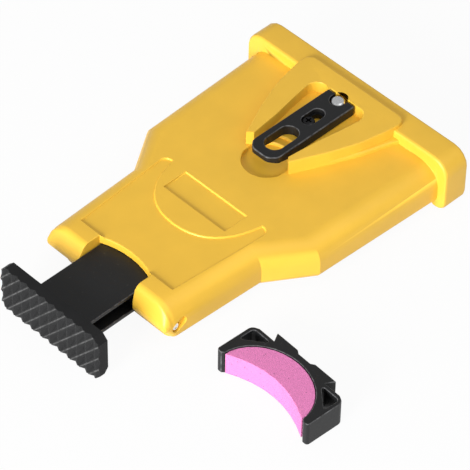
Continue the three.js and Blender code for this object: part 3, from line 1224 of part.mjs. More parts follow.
const carriage = new THREE.Group();
carriage.add(
  piece("slide_carriage", slideCarriage(), blackPlastic()),
  piece("push_pad", pushPad(), padGrey()),
  piece("pad_roll_pin", rollPin(), steel()),
  placed(
    CARTRIDGE_X, 0, SLIDE_BOTTOM, 180,
    piece("stone_holder", holder(), blackPlastic()),
    piece("grinding_stone", stone(), pinkStone()),
  ),
);

const spare = placed(
  SPARE_X, SPARE_Y, 0, SPARE_YAW,
  piece("spare_stone_holder", holder(), blackPlastic()),
  piece("spare_grinding_stone", stone(), pinkStone()),
);

const sharpener = new THREE.Group();
sharpener.add(base, cover, latch, carriage, spare);
sharpener.position.x = -HOUSING_LENGTH / 2;

export default sharpener;
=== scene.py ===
"""Bar-mounted chainsaw sharpener: fine shapes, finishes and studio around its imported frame. Metres, +Z up."""

import math

import bmesh
import bpy
from mathutils import Matrix, Vector


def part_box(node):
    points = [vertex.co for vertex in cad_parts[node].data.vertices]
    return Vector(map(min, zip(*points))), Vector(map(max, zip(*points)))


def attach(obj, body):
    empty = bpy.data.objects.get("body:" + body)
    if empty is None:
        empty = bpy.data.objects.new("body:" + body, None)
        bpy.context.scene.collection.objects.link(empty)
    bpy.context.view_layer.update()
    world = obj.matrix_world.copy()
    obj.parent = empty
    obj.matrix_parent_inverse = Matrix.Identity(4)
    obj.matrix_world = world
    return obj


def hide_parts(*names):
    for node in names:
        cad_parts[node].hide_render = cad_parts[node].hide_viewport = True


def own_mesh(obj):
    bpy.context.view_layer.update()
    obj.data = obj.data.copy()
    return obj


bl_info = {
    "name": "Chainsaw sharpener finish",
    "version": (1, 0, 0),
    "blender": (4, 5, 0),
    "location": "View3D > Sidebar > Sharpener",
    "description": "Fine shapes, moulded plastic, stone and metal finishes, and a pale studio",
    "category": "Object",
}

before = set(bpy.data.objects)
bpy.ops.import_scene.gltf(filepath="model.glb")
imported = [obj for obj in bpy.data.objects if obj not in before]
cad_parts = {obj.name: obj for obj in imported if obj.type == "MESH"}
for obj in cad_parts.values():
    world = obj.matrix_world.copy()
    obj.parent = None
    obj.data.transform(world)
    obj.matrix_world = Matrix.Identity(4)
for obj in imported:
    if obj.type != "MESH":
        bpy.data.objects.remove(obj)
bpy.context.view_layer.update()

MM = 0.001

# Points closer than JOIN are one point, and faces within FLAT of each other are one face
JOIN = 0.002 * MM
FLAT = math.radians(0.6)

# Edges over SHARP are corners, and the steps of a fillet stay under FILLET_STEP
SHARP = math.radians(30)
FILLET_STEP = math.radians(50)

# A face looks up where its normal's height is over LOOKS_UP, and down where it is under LOOKS_DOWN
LOOKS_UP = 0.5
LOOKS_DOWN = -0.3

# Moulded plastic has a cloudy tint and slow waves
CLOUD = 14 * MM
WAVE = 9 * MM
WAVE_HEIGHT = 0.04 * MM


# Settings that a user would change


class HousingSettings(bpy.types.PropertyGroup):
    """The two yellow shells"""

    colour: bpy.props.FloatVectorProperty(
        name="Housing colour", description="Yellow of the two housing shells",
        subtype="COLOR", size=3, min=0, max=1, default=(0.90, 0.535, 0.048))
    roughness: bpy.props.FloatProperty(
        name="Housing roughness", description="Dullness of the moulded surface",
        subtype="FACTOR", min=0, max=1, default=0.42)
    fillet: bpy.props.FloatProperty(
        name="Edge fillet", description="Radius that softens the moulding's edges",
        unit="LENGTH", subtype="DISTANCE", min=0, max=0.002, default=0.00045)
    grain: bpy.props.FloatProperty(
        name="Grain pitch", description="Size of the mould's fine texture",
        unit="LENGTH", subtype="DISTANCE", min=0.0001, max=0.002, default=0.00045)


class BlackPartSettings(bpy.types.PropertyGroup):
    """The latch, the slide and the stone holders"""

    colour: bpy.props.FloatVectorProperty(
        name="Black plastic colour", description="Colour of the latch, the slide and the stone holders",
        subtype="COLOR", size=3, min=0, max=1, default=(0.0072, 0.0077, 0.0085))
    roughness: bpy.props.FloatProperty(
        name="Black plastic roughness", description="Dullness of the black mouldings",
        subtype="FACTOR", min=0, max=1, default=0.48)
    # The paler edge colour is partly wear and partly a painted highlight along the rims; the scuffs are wear
    wear_and_highlight: bpy.props.FloatVectorProperty(
        name="Rubbed edge colour", description="Paler colour of handled edges and scuffs",
        subtype="COLOR", size=3, min=0, max=1, default=(0.13, 0.13, 0.135))
    fillet: bpy.props.FloatProperty(
        name="Black parts' fillet", description="Radius that softens the edges of latch, slide and holders",
        unit="LENGTH", subtype="DISTANCE", min=0, max=0.001, default=0.0003)


class PadSettings(bpy.types.PropertyGroup):
    """The push pad and its knurl"""

    colour: bpy.props.FloatVectorProperty(
        name="Pad colour", description="Colour in the knurl's pits",
        subtype="COLOR", size=3, min=0, max=1, default=(0.0115, 0.0117, 0.0122))
    # The ridge colour is a painted highlight on the ridges that climb to the right
    wear_and_highlight: bpy.props.FloatVectorProperty(
        name="Ridge colour", description="Paler colour of the knurl's rubbed ridges",
        subtype="COLOR", size=3, min=0, max=1, default=(0.13, 0.13, 0.13))
    roughness: bpy.props.FloatProperty(
        name="Pad roughness", description="Dullness of the pad",
        subtype="FACTOR", min=0, max=1, default=0.6)
    thickness: bpy.props.FloatProperty(
        name="Pad thickness", description="From the ridges to the flat back",
        unit="LENGTH", subtype="DISTANCE", min=0.002, max=0.01, default=0.0048)
    pitch: bpy.props.FloatProperty(
        name="Knurl pitch", description="Width of a cell between two ridges",
        unit="LENGTH", subtype="DISTANCE", min=0.002, max=0.01, default=0.00506)
    depth: bpy.props.FloatProperty(
        name="Knurl depth", description="Depth of a pit below the ridges",
        unit="LENGTH", subtype="DISTANCE", min=0.0002, max=0.003, default=0.0012)
    angle: bpy.props.FloatProperty(
        name="Knurl angle", description="Slope of the ridges",
        subtype="ANGLE", default=math.radians(50))
    corner: bpy.props.FloatProperty(
        name="Cut corner", description="Length cut off each corner of the pad",
        unit="LENGTH", subtype="DISTANCE", min=0, max=0.006, default=0.0026)
    heel_rise: bpy.props.FloatProperty(
        name="Heel rise", description="Height of the slope under the pad's back",
        unit="LENGTH", subtype="DISTANCE", min=0, max=0.01, default=0.005)
    heel_length: bpy.props.FloatProperty(
        name="Heel length", description="Length of the slope under the pad's back",
        unit="LENGTH", subtype="DISTANCE", min=0.001, max=0.0048, default=0.0038)
    tenon_width: bpy.props.FloatProperty(
        name="Tenon width", description="Width of the tenon that sits in the slide",
        unit="LENGTH", subtype="DISTANCE", min=0.001, max=0.02, default=0.0124)
    tenon_height: bpy.props.FloatProperty(
        name="Tenon height", description="Height of the tenon that sits in the slide",
        unit="LENGTH", subtype="DISTANCE", min=0.001, max=0.02, default=0.0056)
    tenon_root: bpy.props.FloatProperty(
        name="Tenon root", description="How far the tenon reaches into the plate, where it is joined",
        unit="LENGTH", subtype="DISTANCE", min=0.0002, max=0.003, default=0.001)
    pin_play: bpy.props.FloatProperty(
        name="Roll pin's play", description="Gap between the roll pin and its hole",
        unit="LENGTH", subtype="DISTANCE", min=0, max=0.001, default=0.00005)


class StoneSettings(bpy.types.PropertyGroup):
    """The two grinding stones"""

    colour: bpy.props.FloatVectorProperty(
        name="Stone colour", description="Pink of the abrasive's binder",
        subtype="COLOR", size=3, min=0, max=1, default=(0.84, 0.25, 0.54))
    grit: bpy.props.FloatProperty(
        name="Grit size", description="Size of the abrasive grains",
        unit="LENGTH", subtype="DISTANCE", min=0.0001, max=0.002, default=0.00035)
    fillet: bpy.props.FloatProperty(
        name="Stone fillet", description="Wear on the stone's edges",
        unit="LENGTH", subtype="DISTANCE", min=0, max=0.001, default=0.0002)


class SteelSettings(bpy.types.PropertyGroup):
    """The plated pins"""

    colour: bpy.props.FloatVectorProperty(
        name="Plated steel colour", description="Tint of the zinc plated pins",
        subtype="COLOR", size=3, min=0, max=1, default=(0.86, 0.87, 0.88))
    roughness: bpy.props.FloatProperty(
        name="Steel roughness", description="Dullness of the plated steel",
        subtype="FACTOR", min=0, max=1, default=0.24)
    lock_radius: bpy.props.FloatProperty(
        name="Lock pin radius", description="Radius of the lock pin's shank and head",
        unit="LENGTH", subtype="DISTANCE", min=0, max=0.02, default=0.0029)
    lock_head: bpy.props.FloatProperty(
        name="Lock pin head", description="Height of the head above the groove",
        unit="LENGTH", subtype="DISTANCE", min=0, max=0.02, default=0.0018)
    lock_groove: bpy.props.FloatProperty(
        name="Groove height", description="Height of the groove for the latch",
        unit="LENGTH", subtype="DISTANCE", min=0, max=0.02, default=0.0018)
    groove_radius: bpy.props.FloatProperty(
        name="Groove radius", description="Radius of the lock pin in its groove",
        unit="LENGTH", subtype="DISTANCE", min=0, max=0.02, default=0.002)
    locating_radius: bpy.props.FloatProperty(
        name="Locating pin radius", description="Radius of the pin that meets the guide bar",
        unit="LENGTH", subtype="DISTANCE", min=0, max=0.02, default=0.0026)
    collar_height: bpy.props.FloatProperty(
        name="Collar height", description="Height of the collar that seats in the base",
        unit="LENGTH", subtype="DISTANCE", min=0, max=0.02, default=0.0012)
    bore_radius: bpy.props.FloatProperty(
        name="Bore radius", description="Radius of the blind hole for the screw from below",
        unit="LENGTH", subtype="DISTANCE", min=0, max=0.02, default=0.00145)
    chamfer: bpy.props.FloatProperty(
        name="Pin chamfer", description="Chamfer round a pin's top",
        unit="LENGTH", subtype="DISTANCE", min=0, max=0.02, default=0.0007)


class ScrewSettings(bpy.types.PropertyGroup):
    """The black screws"""

    colour: bpy.props.FloatVectorProperty(
        name="Screw colour", description="Black oxide of the screws",
        subtype="COLOR", size=3, min=0, max=1, default=(0.035, 0.035, 0.037))
    wear_and_highlight: bpy.props.FloatVectorProperty(
        name="Worn oxide colour", description="Paler metal where the oxide is rubbed",
        subtype="COLOR", size=3, min=0, max=1, default=(0.16, 0.16, 0.17))
    head_height: bpy.props.FloatProperty(
        name="Latch screw head", description="Height of the latch screw's head",
        unit="LENGTH", subtype="DISTANCE", min=0, max=0.02, default=0.0019)
    shank_radius: bpy.props.FloatProperty(
        name="Latch screw shank", description="Radius of the latch screw's shank",
        unit="LENGTH", subtype="DISTANCE", min=0, max=0.02, default=0.0011)
    cross: bpy.props.FloatProperty(
        name="Cross length", description="Length of the cross recess",
        unit="LENGTH", subtype="DISTANCE", min=0, max=0.02, default=0.0034)
    cross_width: bpy.props.FloatProperty(
        name="Cross width", description="Width of the cross recess",
        unit="LENGTH", subtype="DISTANCE", min=0, max=0.02, default=0.0008)
    cross_depth: bpy.props.FloatProperty(
        name="Cross depth", description="Depth of the latch screw's cross",
        unit="LENGTH", subtype="DISTANCE", min=0, max=0.02, default=0.0011)
    pan_height: bpy.props.FloatProperty(
        name="Base screw head", description="Height of the heads under the base",
        unit="LENGTH", subtype="DISTANCE", min=0, max=0.02, default=0.0014)
    base_shank_radius: bpy.props.FloatProperty(
        name="Base screw shank", description="Radius of the shanks in the pins",
        unit="LENGTH", subtype="DISTANCE", min=0, max=0.02, default=0.0012)
    sink_height: bpy.props.FloatProperty(
        name="Countersink", description="Height of the strap screws' cone",
        unit="LENGTH", subtype="DISTANCE", min=0, max=0.02, default=0.0012)
    strap_shank_radius: bpy.props.FloatProperty(
        name="Strap screw shank", description="Radius of the strap screws' shanks",
        unit="LENGTH", subtype="DISTANCE", min=0, max=0.02, default=0.0012)


class SpringSettings(bpy.types.PropertyGroup):
    """The two return springs"""

    colour: bpy.props.FloatVectorProperty(
        name="Spring colour", description="Tint of the spring wire",
        subtype="COLOR", size=3, min=0, max=1, default=(0.55, 0.56, 0.58))
    wire: bpy.props.FloatProperty(
        name="Wire", description="Thickness of the wire",
        unit="LENGTH", subtype="DISTANCE", min=0.0002, max=0.002, default=0.0008)
    turns: bpy.props.IntProperty(name="Turns", description="Turns of each spring", min=2, max=40, default=8)
    closed_turns: bpy.props.FloatProperty(
        name="Closed turns", description="Turns that lie close at each end", min=0, max=2, default=1)


class StudioSettings(bpy.types.PropertyGroup):
    """The camera, the lamps and the backdrop"""

    azimuth: bpy.props.FloatProperty(
        name="Camera azimuth", description="Direction that the camera looks from, 0 from the front",
        subtype="ANGLE", default=math.radians(-45.098))
    elevation: bpy.props.FloatProperty(
        name="Camera elevation", description="Height of the camera above the horizon",
        subtype="ANGLE", default=math.radians(45.324))
    roll: bpy.props.FloatProperty(
        name="Camera roll", description="Turn of the camera about its line of sight",
        subtype="ANGLE", default=math.radians(1.063))
    distance: bpy.props.FloatProperty(
        name="Camera distance", description="Distance from the camera to its target",
        unit="LENGTH", subtype="DISTANCE", default=1.218412)
    target: bpy.props.FloatVectorProperty(
        name="Camera target", description="Point that the camera looks at",
        subtype="TRANSLATION", size=3, default=(-0.020006, -0.017328, 0.015))
    focal: bpy.props.FloatProperty(
        name="Lens", description="Focal length on a 36 mm sensor, in millimetres",
        min=1, max=1000, default=3214.591 / 470 * 36)
    key_power: bpy.props.FloatProperty(
        name="Key lamp", description="Power of the low lamp in front of the pad",
        unit="POWER", min=0, max=1000, default=30)
    fill_power: bpy.props.FloatProperty(
        name="Fill lamp", description="Power of the high lamp over the right side",
        unit="POWER", min=0, max=1000, default=3)
    ambient: bpy.props.FloatProperty(
        name="Ambient light", description="Strength of the even light from all round",
        min=0, max=10, default=0.46)
    backdrop: bpy.props.FloatProperty(
        name="Backdrop", description="How far the floor shows as plain white instead of taking light",
        subtype="FACTOR", min=0, max=1, default=0.94)


# Materials


def shader(name):
    """A new material with its tree, its Principled shader and one Texture Coordinate node."""
    material = bpy.data.materials.new(name)
    material.use_nodes = True
    tree = material.node_tree
    surface = tree.nodes["Principled BSDF"]
    place = tree.nodes.new("ShaderNodeTexCoord").outputs["Object"]
    return material, tree, surface, place


def noise(tree, place, pitch, detail=2.0, roughness=0.5):
    """A noise whose bumps are about one pitch apart."""
    node = tree.nodes.new("ShaderNodeTexNoise")
    node.inputs["Scale"].default_value = 1 / pitch
    node.inputs["Detail"].default_value = detail
    node.inputs["Roughness"].default_value = roughness
    tree.links.new(place, node.inputs["Vector"])
    return node.outputs["Fac"]


def spread(tree, value, low, high, start=0.3, end=0.7):
    """Maps a noise value to a range."""
    node = tree.nodes.new("ShaderNodeMapRange")
    node.inputs["From Min"].default_value = start
    node.inputs["From Max"].default_value = end
    node.inputs["To Min"].default_value = low
    node.inputs["To Max"].default_value = high
    tree.links.new(value, node.inputs["Value"])
    return node.outputs["Result"]


def shades(tree, value, dark, light):
    """Blends two colours by a value from 0 to 1."""
    node = tree.nodes.new("ShaderNodeMix")
    node.data_type = "RGBA"
    node.inputs["A"].default_value = (*dark, 1)
    node.inputs["B"].default_value = (*light, 1)
    tree.links.new(value, node.inputs["Factor"])
    return node.outputs["Result"]


def relief(tree, surface, heights):
    """Chains bumps, each a (height value, depth in metres)."""
    normal = None
    for value, depth in heights:
        node = tree.nodes.new("ShaderNodeBump")
        node.inputs["Distance"].default_value = depth
        tree.links.new(value, node.inputs["Height"])
        if normal is not None:
            tree.links.new(normal, node.inputs["Normal"])
        normal = node.outputs["Normal"]
    tree.links.new(normal, surface.inputs["Normal"])


def scaled(colour, share):
    """A colour made darker or paler."""
    return tuple(min(1.0, c * share) for c in colour)


def moulded_plastic(name, colour, roughness, grain, depth, mottle, gloss=0.5):
    """Injection moulded plastic: faint mottling, fine mould texture and slow waviness."""
    material, tree, surface, place = shader(name)
    cloud = noise(tree, place, CLOUD, 3)
    tint = shades(tree, spread(tree, cloud, 0, 1), scaled(colour, 1 - mottle), scaled(colour, 1 + mottle))
    tree.links.new(tint, surface.inputs["Base Color"])
    fine = noise(tree, place, grain, 3, 0.6)
    tree.links.new(spread(tree, fine, roughness - 0.05, roughness + 0.06), surface.inputs["Roughness"])
    surface.inputs["Specular IOR Level"].default_value = gloss
    relief(tree, surface, [(fine, depth), (noise(tree, place, WAVE, 1), WAVE_HEIGHT)])
    return material


def combine(tree, operation, *values):
    """A Math node on values that are sockets or numbers."""
    node = tree.nodes.new("ShaderNodeMath")
    node.operation = operation
    for socket, value in zip(node.inputs, values):
        if isinstance(value, (int, float)):
            socket.default_value = value
        else:
            tree.links.new(value, socket)
    return node.outputs[0]


def paint_over(tree, surface, colour, mask):
    """Blends a second colour over the shader's base colour by a mask."""
    mix = tree.nodes.new("ShaderNodeMix")
    mix.data_type = "RGBA"
    mix.inputs["B"].default_value = (*colour, 1)
    tree.links.new(mask, mix.inputs["Factor"])
    tree.links.new(surface.inputs["Base Color"].links[0].from_socket, mix.inputs["A"])
    tree.links.new(mix.outputs["Result"], surface.inputs["Base Color"])


def wear_and_highlight_edges(material, wear_and_highlight):
    """Makes a piece's rounded edges paler in patches, as wear and as a painted highlight along the rims, and
    leaves a few scuffs elsewhere.
    """
    tree = material.node_tree
    surface = tree.nodes["Principled BSDF"]
    place = tree.nodes["Texture Coordinate"].outputs["Object"]
    mark = tree.nodes.new("ShaderNodeAttribute")
    mark.attribute_name = "rubbed_and_lit"
    patchy = spread(tree, noise(tree, place, 2.2 * MM, 3, 0.6), 0.1, 1, start=0.35, end=0.7)
    scuffs = spread(tree, noise(tree, place, 1.6 * MM, 4, 0.75), 0, 0.3, start=0.62, end=0.76)
    # The marked edges' paleness is wear and a painted highlight along the rims; the scuffs are wear
    rubbed_and_lit = combine(tree, "MAXIMUM", combine(tree, "MULTIPLY", mark.outputs["Fac"], patchy), scuffs)
    paint_over(tree, surface, wear_and_highlight, rubbed_and_lit)


def ridge_highlight_plastic(name, look, front, middle):
    """Dull moulded plastic with a painted highlight along the ridges that climb towards the pad's right end.

    The ridges stand at the depth front, and one passes through the height middle on the centre plane."""
    material = moulded_plastic(
        name, look.colour, look.roughness, grain=0.4 * MM, depth=0.012 * MM, mottle=0.15, gloss=0.22)
    tree = material.node_tree
    surface = tree.nodes["Principled BSDF"]
    place = tree.nodes["Texture Coordinate"].outputs["Object"]
    axes = tree.nodes.new("ShaderNodeSeparateXYZ")
    tree.links.new(place, axes.inputs["Vector"])
    # Painted highlight: paler lines along the tops of the ridges that climb to the right
    high = spread(tree, axes.outputs["X"], 1, 0, start=front, end=front + look.depth * 0.3)
    slope = math.tan(look.angle)
    lift = combine(tree, "MULTIPLY_ADD", axes.outputs["Z"], 1 / slope, -middle / slope)
    rows = combine(tree, "DIVIDE", combine(tree, "ADD", axes.outputs["Y"], lift), look.pitch)
    off = combine(tree, "PINGPONG", rows, 0.5)
    line = spread(tree, off, 1, 0, start=0.03, end=0.12)
    patchy = spread(tree, noise(tree, place, 2.5 * MM, 2), 0.25, 1)
    rubbed_and_lit = combine(tree, "MULTIPLY", combine(tree, "MULTIPLY", high, line), patchy)
    paint_over(tree, surface, look.wear_and_highlight, rubbed_and_lit)
    return material


def abrasive_stone(name, colour, grit):
    """Vitrified abrasive: pale and dark grains, painted shade for the pores between them, no gloss."""
    material, tree, surface, place = shader(name)
    cells = tree.nodes.new("ShaderNodeTexVoronoi")
    cells.inputs["Scale"].default_value = 1 / grit
    tree.links.new(place, cells.inputs["Vector"])
    speckle = noise(tree, place, grit * 0.8, 2, 0.7)
    pale = spread(tree, speckle, 0, 1, start=0.35, end=0.65)
    grains = shades(tree, pale, scaled(colour, 0.74), scaled(colour, 1.18))
    tree.links.new(grains, surface.inputs["Base Color"])
    # Dark spots are painted shade standing in for pores, in some patches
    sparse = tree.nodes.new("ShaderNodeTexVoronoi")
    sparse.inputs["Scale"].default_value = 1 / (grit * 5)
    tree.links.new(place, sparse.inputs["Vector"])
    pit = spread(tree, sparse.outputs["Distance"], 0.8, 0, start=0.09, end=0.16)
    some = spread(tree, noise(tree, place, grit * 14, 1), 0, 1, start=0.52, end=0.60)
    paint_over(tree, surface, scaled(colour, 0.22), combine(tree, "MULTIPLY", pit, some))
    surface.inputs["Roughness"].default_value = 0.92
    surface.inputs["Specular IOR Level"].default_value = 0.25
    relief(tree, surface, [(cells.outputs["Distance"], 0.10 * MM), (speckle, 0.12 * MM)])
    return material


def plated_steel(name, colour, roughness, pitch=0.5 * MM):
    """Turned and plated steel with a faint drawn grain."""
    material, tree, surface, place = shader(name)
    surface.inputs["Metallic"].default_value = 1
    grain = noise(tree, place, pitch, 3, 0.6)
    tint = shades(tree, grain, scaled(colour, 0.86), scaled(colour, 1.1))
    tree.links.new(tint, surface.inputs["Base Color"])
    tree.links.new(spread(tree, grain, roughness - 0.06, roughness + 0.08), surface.inputs["Roughness"])
    relief(tree, surface, [(grain, 0.006 * MM)])
    return material


# Shared modelling steps


def alone(obj):
    """Deselects everything and makes obj the only selected and active object."""
    bpy.ops.object.select_all(action="DESELECT")
    obj.select_set(True)
    bpy.context.view_layer.objects.active = obj


def merged_copy(node, name):
    """A copy of a CAD node with its loose triangles joined and its flat faces made whole."""
    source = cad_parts[node]
    obj = bpy.data.objects.new(name, source.data.copy())
    bpy.context.scene.collection.objects.link(obj)
    alone(obj)
    if obj.data.has_custom_normals:
        bpy.ops.mesh.customdata_custom_splitnormals_clear()
    bpy.ops.object.mode_set(mode="EDIT")
    bpy.ops.mesh.select_all(action="SELECT")
    bpy.ops.mesh.remove_doubles(threshold=JOIN)
    bpy.ops.mesh.dissolve_limited(angle_limit=FLAT)
    bpy.ops.object.mode_set(mode="OBJECT")
    return obj


def apply(obj, modifier):
    """Makes a modifier's result part of the mesh."""
    alone(obj)
    bpy.ops.object.modifier_apply(modifier=modifier.name)


def join_or_cut(obj, tool, operation):
    """Joins a piece with a tool body, or cuts it by one, and removes the tool."""
    work = obj.modifiers.new("work", "BOOLEAN")
    work.operation = operation
    work.object = tool
    work.solver = "EXACT"
    apply(obj, work)
    bpy.data.objects.remove(tool)


def rims(low=-1, high=1, crisp=(), outer=True, top=True):
    """A test for a piece's outer or inner corners between two heights, which start as its whole height.

    With top, one of an edge's faces looks up and neither looks down. Places (x, y, reach) are left crisp
    on both sides of the centre plane."""

    def test(edge):
        middle = (edge.verts[0].co + edge.verts[1].co) / 2
        if not low < middle.z < high or edge.is_convex != outer or edge.calc_face_angle(0) <= SHARP:
            return False
        ways = sorted(face.normal.z for face in edge.link_faces)
        if top and (ways[0] <= LOOKS_DOWN or ways[-1] <= LOOKS_UP):
            return False
        return all(math.hypot(middle.x - x, abs(middle.y) - y) > reach for x, y, reach in crisp)
    return test


def fillet(obj, radius, test):
    """Rounds the edges that pass the test, and marks the new faces, which take the second slot, for the paler
    edge colour of wear and painted highlight.
    """
    while len(obj.data.materials) < 2:
        obj.data.materials.append(None)
    alone(obj)
    bpy.ops.object.mode_set(mode="EDIT")
    bpy.ops.mesh.select_mode(type="EDGE")
    bpy.ops.mesh.select_all(action="DESELECT")
    form = bmesh.from_edit_mesh(obj.data)
    for edge in form.edges:
        if test(edge):
            edge.select_set(True)
    bmesh.update_edit_mesh(obj.data)
    bpy.ops.mesh.bevel(offset=radius, segments=2, affect="EDGES", clamp_overlap=False, material=1)
    bpy.ops.object.mode_set(mode="OBJECT")
    rubbed_and_lit = obj.data.attributes.get("rubbed_and_lit") or obj.data.attributes.new("rubbed_and_lit", "FLOAT", "FACE")
    for face in obj.data.polygons:
        if face.material_index == 1:
            rubbed_and_lit.data[face.index].value = 1
            face.material_index = 0


def smooth(obj, limit=32):
    """Shades smoothly across fillets, and where faces meet under the limit in degrees."""
    alone(obj)
    bpy.ops.object.shade_smooth_by_angle(angle=math.radians(limit))
    form = bmesh.new()
    form.from_mesh(obj.data)
    rubbed_and_lit = form.faces.layers.float.get("rubbed_and_lit")
    for edge in form.edges if rubbed_and_lit else ():
        if any(face[rubbed_and_lit] for face in edge.link_faces) and edge.calc_face_angle(0) < FILLET_STEP:
            edge.smooth = True
    form.to_mesh(obj.data)
    form.free()
    even = obj.modifiers.new("even shading", "WEIGHTED_NORMAL")
    even.keep_sharp = True
    even.weight = 100
    apply(obj, even)


def dress(obj, material):
    """Gives a piece one material."""
    obj.data.materials.clear()
    obj.data.materials.append(material)


def stand_in(obj, body, material, node):
    """Finishes a piece: gives it its material and its body, and hides the CAD node that it stands for."""
    dress(obj, material)
    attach(obj, body)
    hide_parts(node)


def moulded(node, name, body, slot, material, *fillets, limit=32):
    """A stand-in for a CAD node with some edges rounded, each fillet being (radius, test)."""
    obj = merged_copy(node, name)
    for radius, test in fillets:
        fillet(obj, radius, test)
    smooth(obj, limit)
    stand_in(obj, body, material, node)


# Mouldings and stones


class SHARPENER_OT_housing(bpy.types.Operator):
    """Makes the two yellow shells with softened edges"""

    bl_idname = "sharpener.housing"
    bl_label = "Housing shells"

    def execute(self, context):
        look = context.scene.sharpener_housing
        yellow = moulded_plastic(
            "yellow_moulding", look.colour, look.roughness, look.grain, depth=0.01 * MM, mottle=0.03)

        # Edges are rounded from above the parting line to below the boss's rim, and on that rim
        lowest, highest = 16.2 * MM, 26 * MM
        rim_low, rim_high = 26.7 * MM, 27 * MM

        # Places left crisp, where a fillet would run into its neighbours: x, y and reach
        screw = (36.65 * MM, 0, 4.5 * MM)
        pin_hole = (53 * MM, 0, 6.5 * MM)
        leg_tip = (15 * MM, 10.5 * MM, 3 * MM)
        leg_foot = (32.5 * MM, 20 * MM, 3.5 * MM)
        flange_foot = (57.5 * MM, 30 * MM, 6 * MM)
        boss_foot = (33 * MM, 20 * MM, 22 * MM)
        outer = rims(lowest, highest, (screw, leg_tip, leg_foot, flange_foot, pin_hole))
        rim = rims(rim_low, rim_high, (leg_tip, pin_hole))
        inner = rims(lowest, highest, (screw, leg_tip, flange_foot, pin_hole, boss_foot), outer=False)

        moulded(
            "cover_shell", "cover_moulding", "cover", "housing_yellow", yellow,
            (look.fillet, outer), (look.fillet, rim), (look.fillet / 2, inner), limit=25)
        moulded("base_shell", "base_moulding", "base", "housing_yellow", yellow, limit=25)
        return {"FINISHED"}


def slice_off(point, normal, fill=True):
    """In edit mode, cuts the whole piece at a plane and drops what lies on the normal's side."""
    bpy.ops.mesh.select_all(action="SELECT")
    bpy.ops.mesh.bisect(
        plane_co=point, plane_no=normal, clear_outer=True, use_fill=fill, threshold=0.001 * MM)


class SHARPENER_OT_push_pad(bpy.types.Operator):
    """Makes the push pad from a sheet of slanted cells, each sunk to a pit, and adds its tenon"""

    bl_idname = "sharpener.push_pad"
    bl_label = "Knurled push pad"

    def execute(self, context):
        look = context.scene.sharpener_pad
        low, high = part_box("push_pad")
        half = high.y
        middle = (low.z + high.z) / 2
        rear = low.x + look.thickness

        # One sheet of cells, sheared so that one family of ridges climbs to the right and one stands upright
        cells = 2 * math.ceil(2 * half / look.pitch)
        bpy.ops.object.select_all(action="DESELECT")
        bpy.ops.mesh.primitive_grid_add(x_subdivisions=cells, y_subdivisions=cells, size=cells)
        pad = context.object
        pad.name = "knurled_pad"
        rise = look.pitch * math.tan(look.angle)
        pad.data.transform(Matrix(((0, 0, 1), (-look.pitch, 0, 0), (rise, rise, 0))).to_4x4())
        pad.data.transform(Matrix.Translation((low.x, 0, middle)))

        alone(pad)
        bpy.ops.object.mode_set(mode="EDIT")
        bpy.ops.mesh.select_all(action="SELECT")
        bpy.ops.mesh.normals_make_consistent(inside=False)
        bpy.ops.mesh.poke(offset=0, center_mode="MEDIAN")
        bpy.ops.object.mode_set(mode="OBJECT")
        for vertex in pad.data.vertices[(cells + 1) ** 2:]:
            vertex.co.x += look.depth
        bpy.ops.object.mode_set(mode="EDIT")

        # The pad's outline with its cut corners, while it is still a sheet
        slice_off((0, half, 0), (0, 1, 0), fill=False)
        slice_off((0, -half, 0), (0, -1, 0), fill=False)
        slice_off((0, 0, high.z), (0, 0, 1), fill=False)
        slice_off((0, 0, low.z), (0, 0, -1), fill=False)
        for y in (-1, 1):
            for z, level in ((-1, low.z), (1, high.z)):
                slice_off((0, y * (half - look.corner), level), (0, y, z), fill=False)

        # Its thickness, the flat back, and the underside that rises towards the slide
        bpy.ops.mesh.select_all(action="SELECT")
        bpy.ops.mesh.extrude_region_move(TRANSFORM_OT_translate={"value": (2 * look.thickness, 0, 0)})
        slice_off((rear, 0, 0), (1, 0, 0))
        slope = Vector((look.heel_rise, 0, -look.heel_length)).normalized()
        slice_off((rear - look.heel_length, 0, low.z), slope)
        bpy.ops.mesh.select_all(action="SELECT")
        bpy.ops.mesh.normals_make_consistent(inside=False)
        bpy.ops.object.mode_set(mode="OBJECT")

        # The tenon that sits in the slide, with the hole for the roll pin
        pin_low, pin_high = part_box("pad_roll_pin")
        pin = (pin_low + pin_high) / 2
        root = rear - look.tenon_root
        bpy.ops.object.select_all(action="DESELECT")
        bpy.ops.mesh.primitive_cube_add(
            size=2, location=((root + high.x) / 2, 0, pin.z),
            scale=((high.x - root) / 2, look.tenon_width / 2, look.tenon_height / 2))
        tenon = context.object
        bpy.ops.object.transform_apply(location=True, rotation=True, scale=True)
        join_or_cut(pad, tenon, "UNION")
        bpy.ops.object.select_all(action="DESELECT")
        bpy.ops.mesh.primitive_cylinder_add(
            vertices=24, radius=(pin_high.x - pin_low.x) / 2 + look.pin_play, depth=look.tenon_width * 2,
            location=pin, rotation=(math.pi / 2, 0, 0))
        hole = context.object
        bpy.ops.object.transform_apply(location=True, rotation=True, scale=True)
        join_or_cut(pad, hole, "DIFFERENCE")

        # The knurl's facets stay crisp
        smooth(pad, limit=8)
        # The pad's material carries a painted highlight along one family of ridges
        grey = ridge_highlight_plastic("pad_moulding", look, low.x, middle)
        stand_in(pad, "carriage", grey, "push_pad")
        return {"FINISHED"}


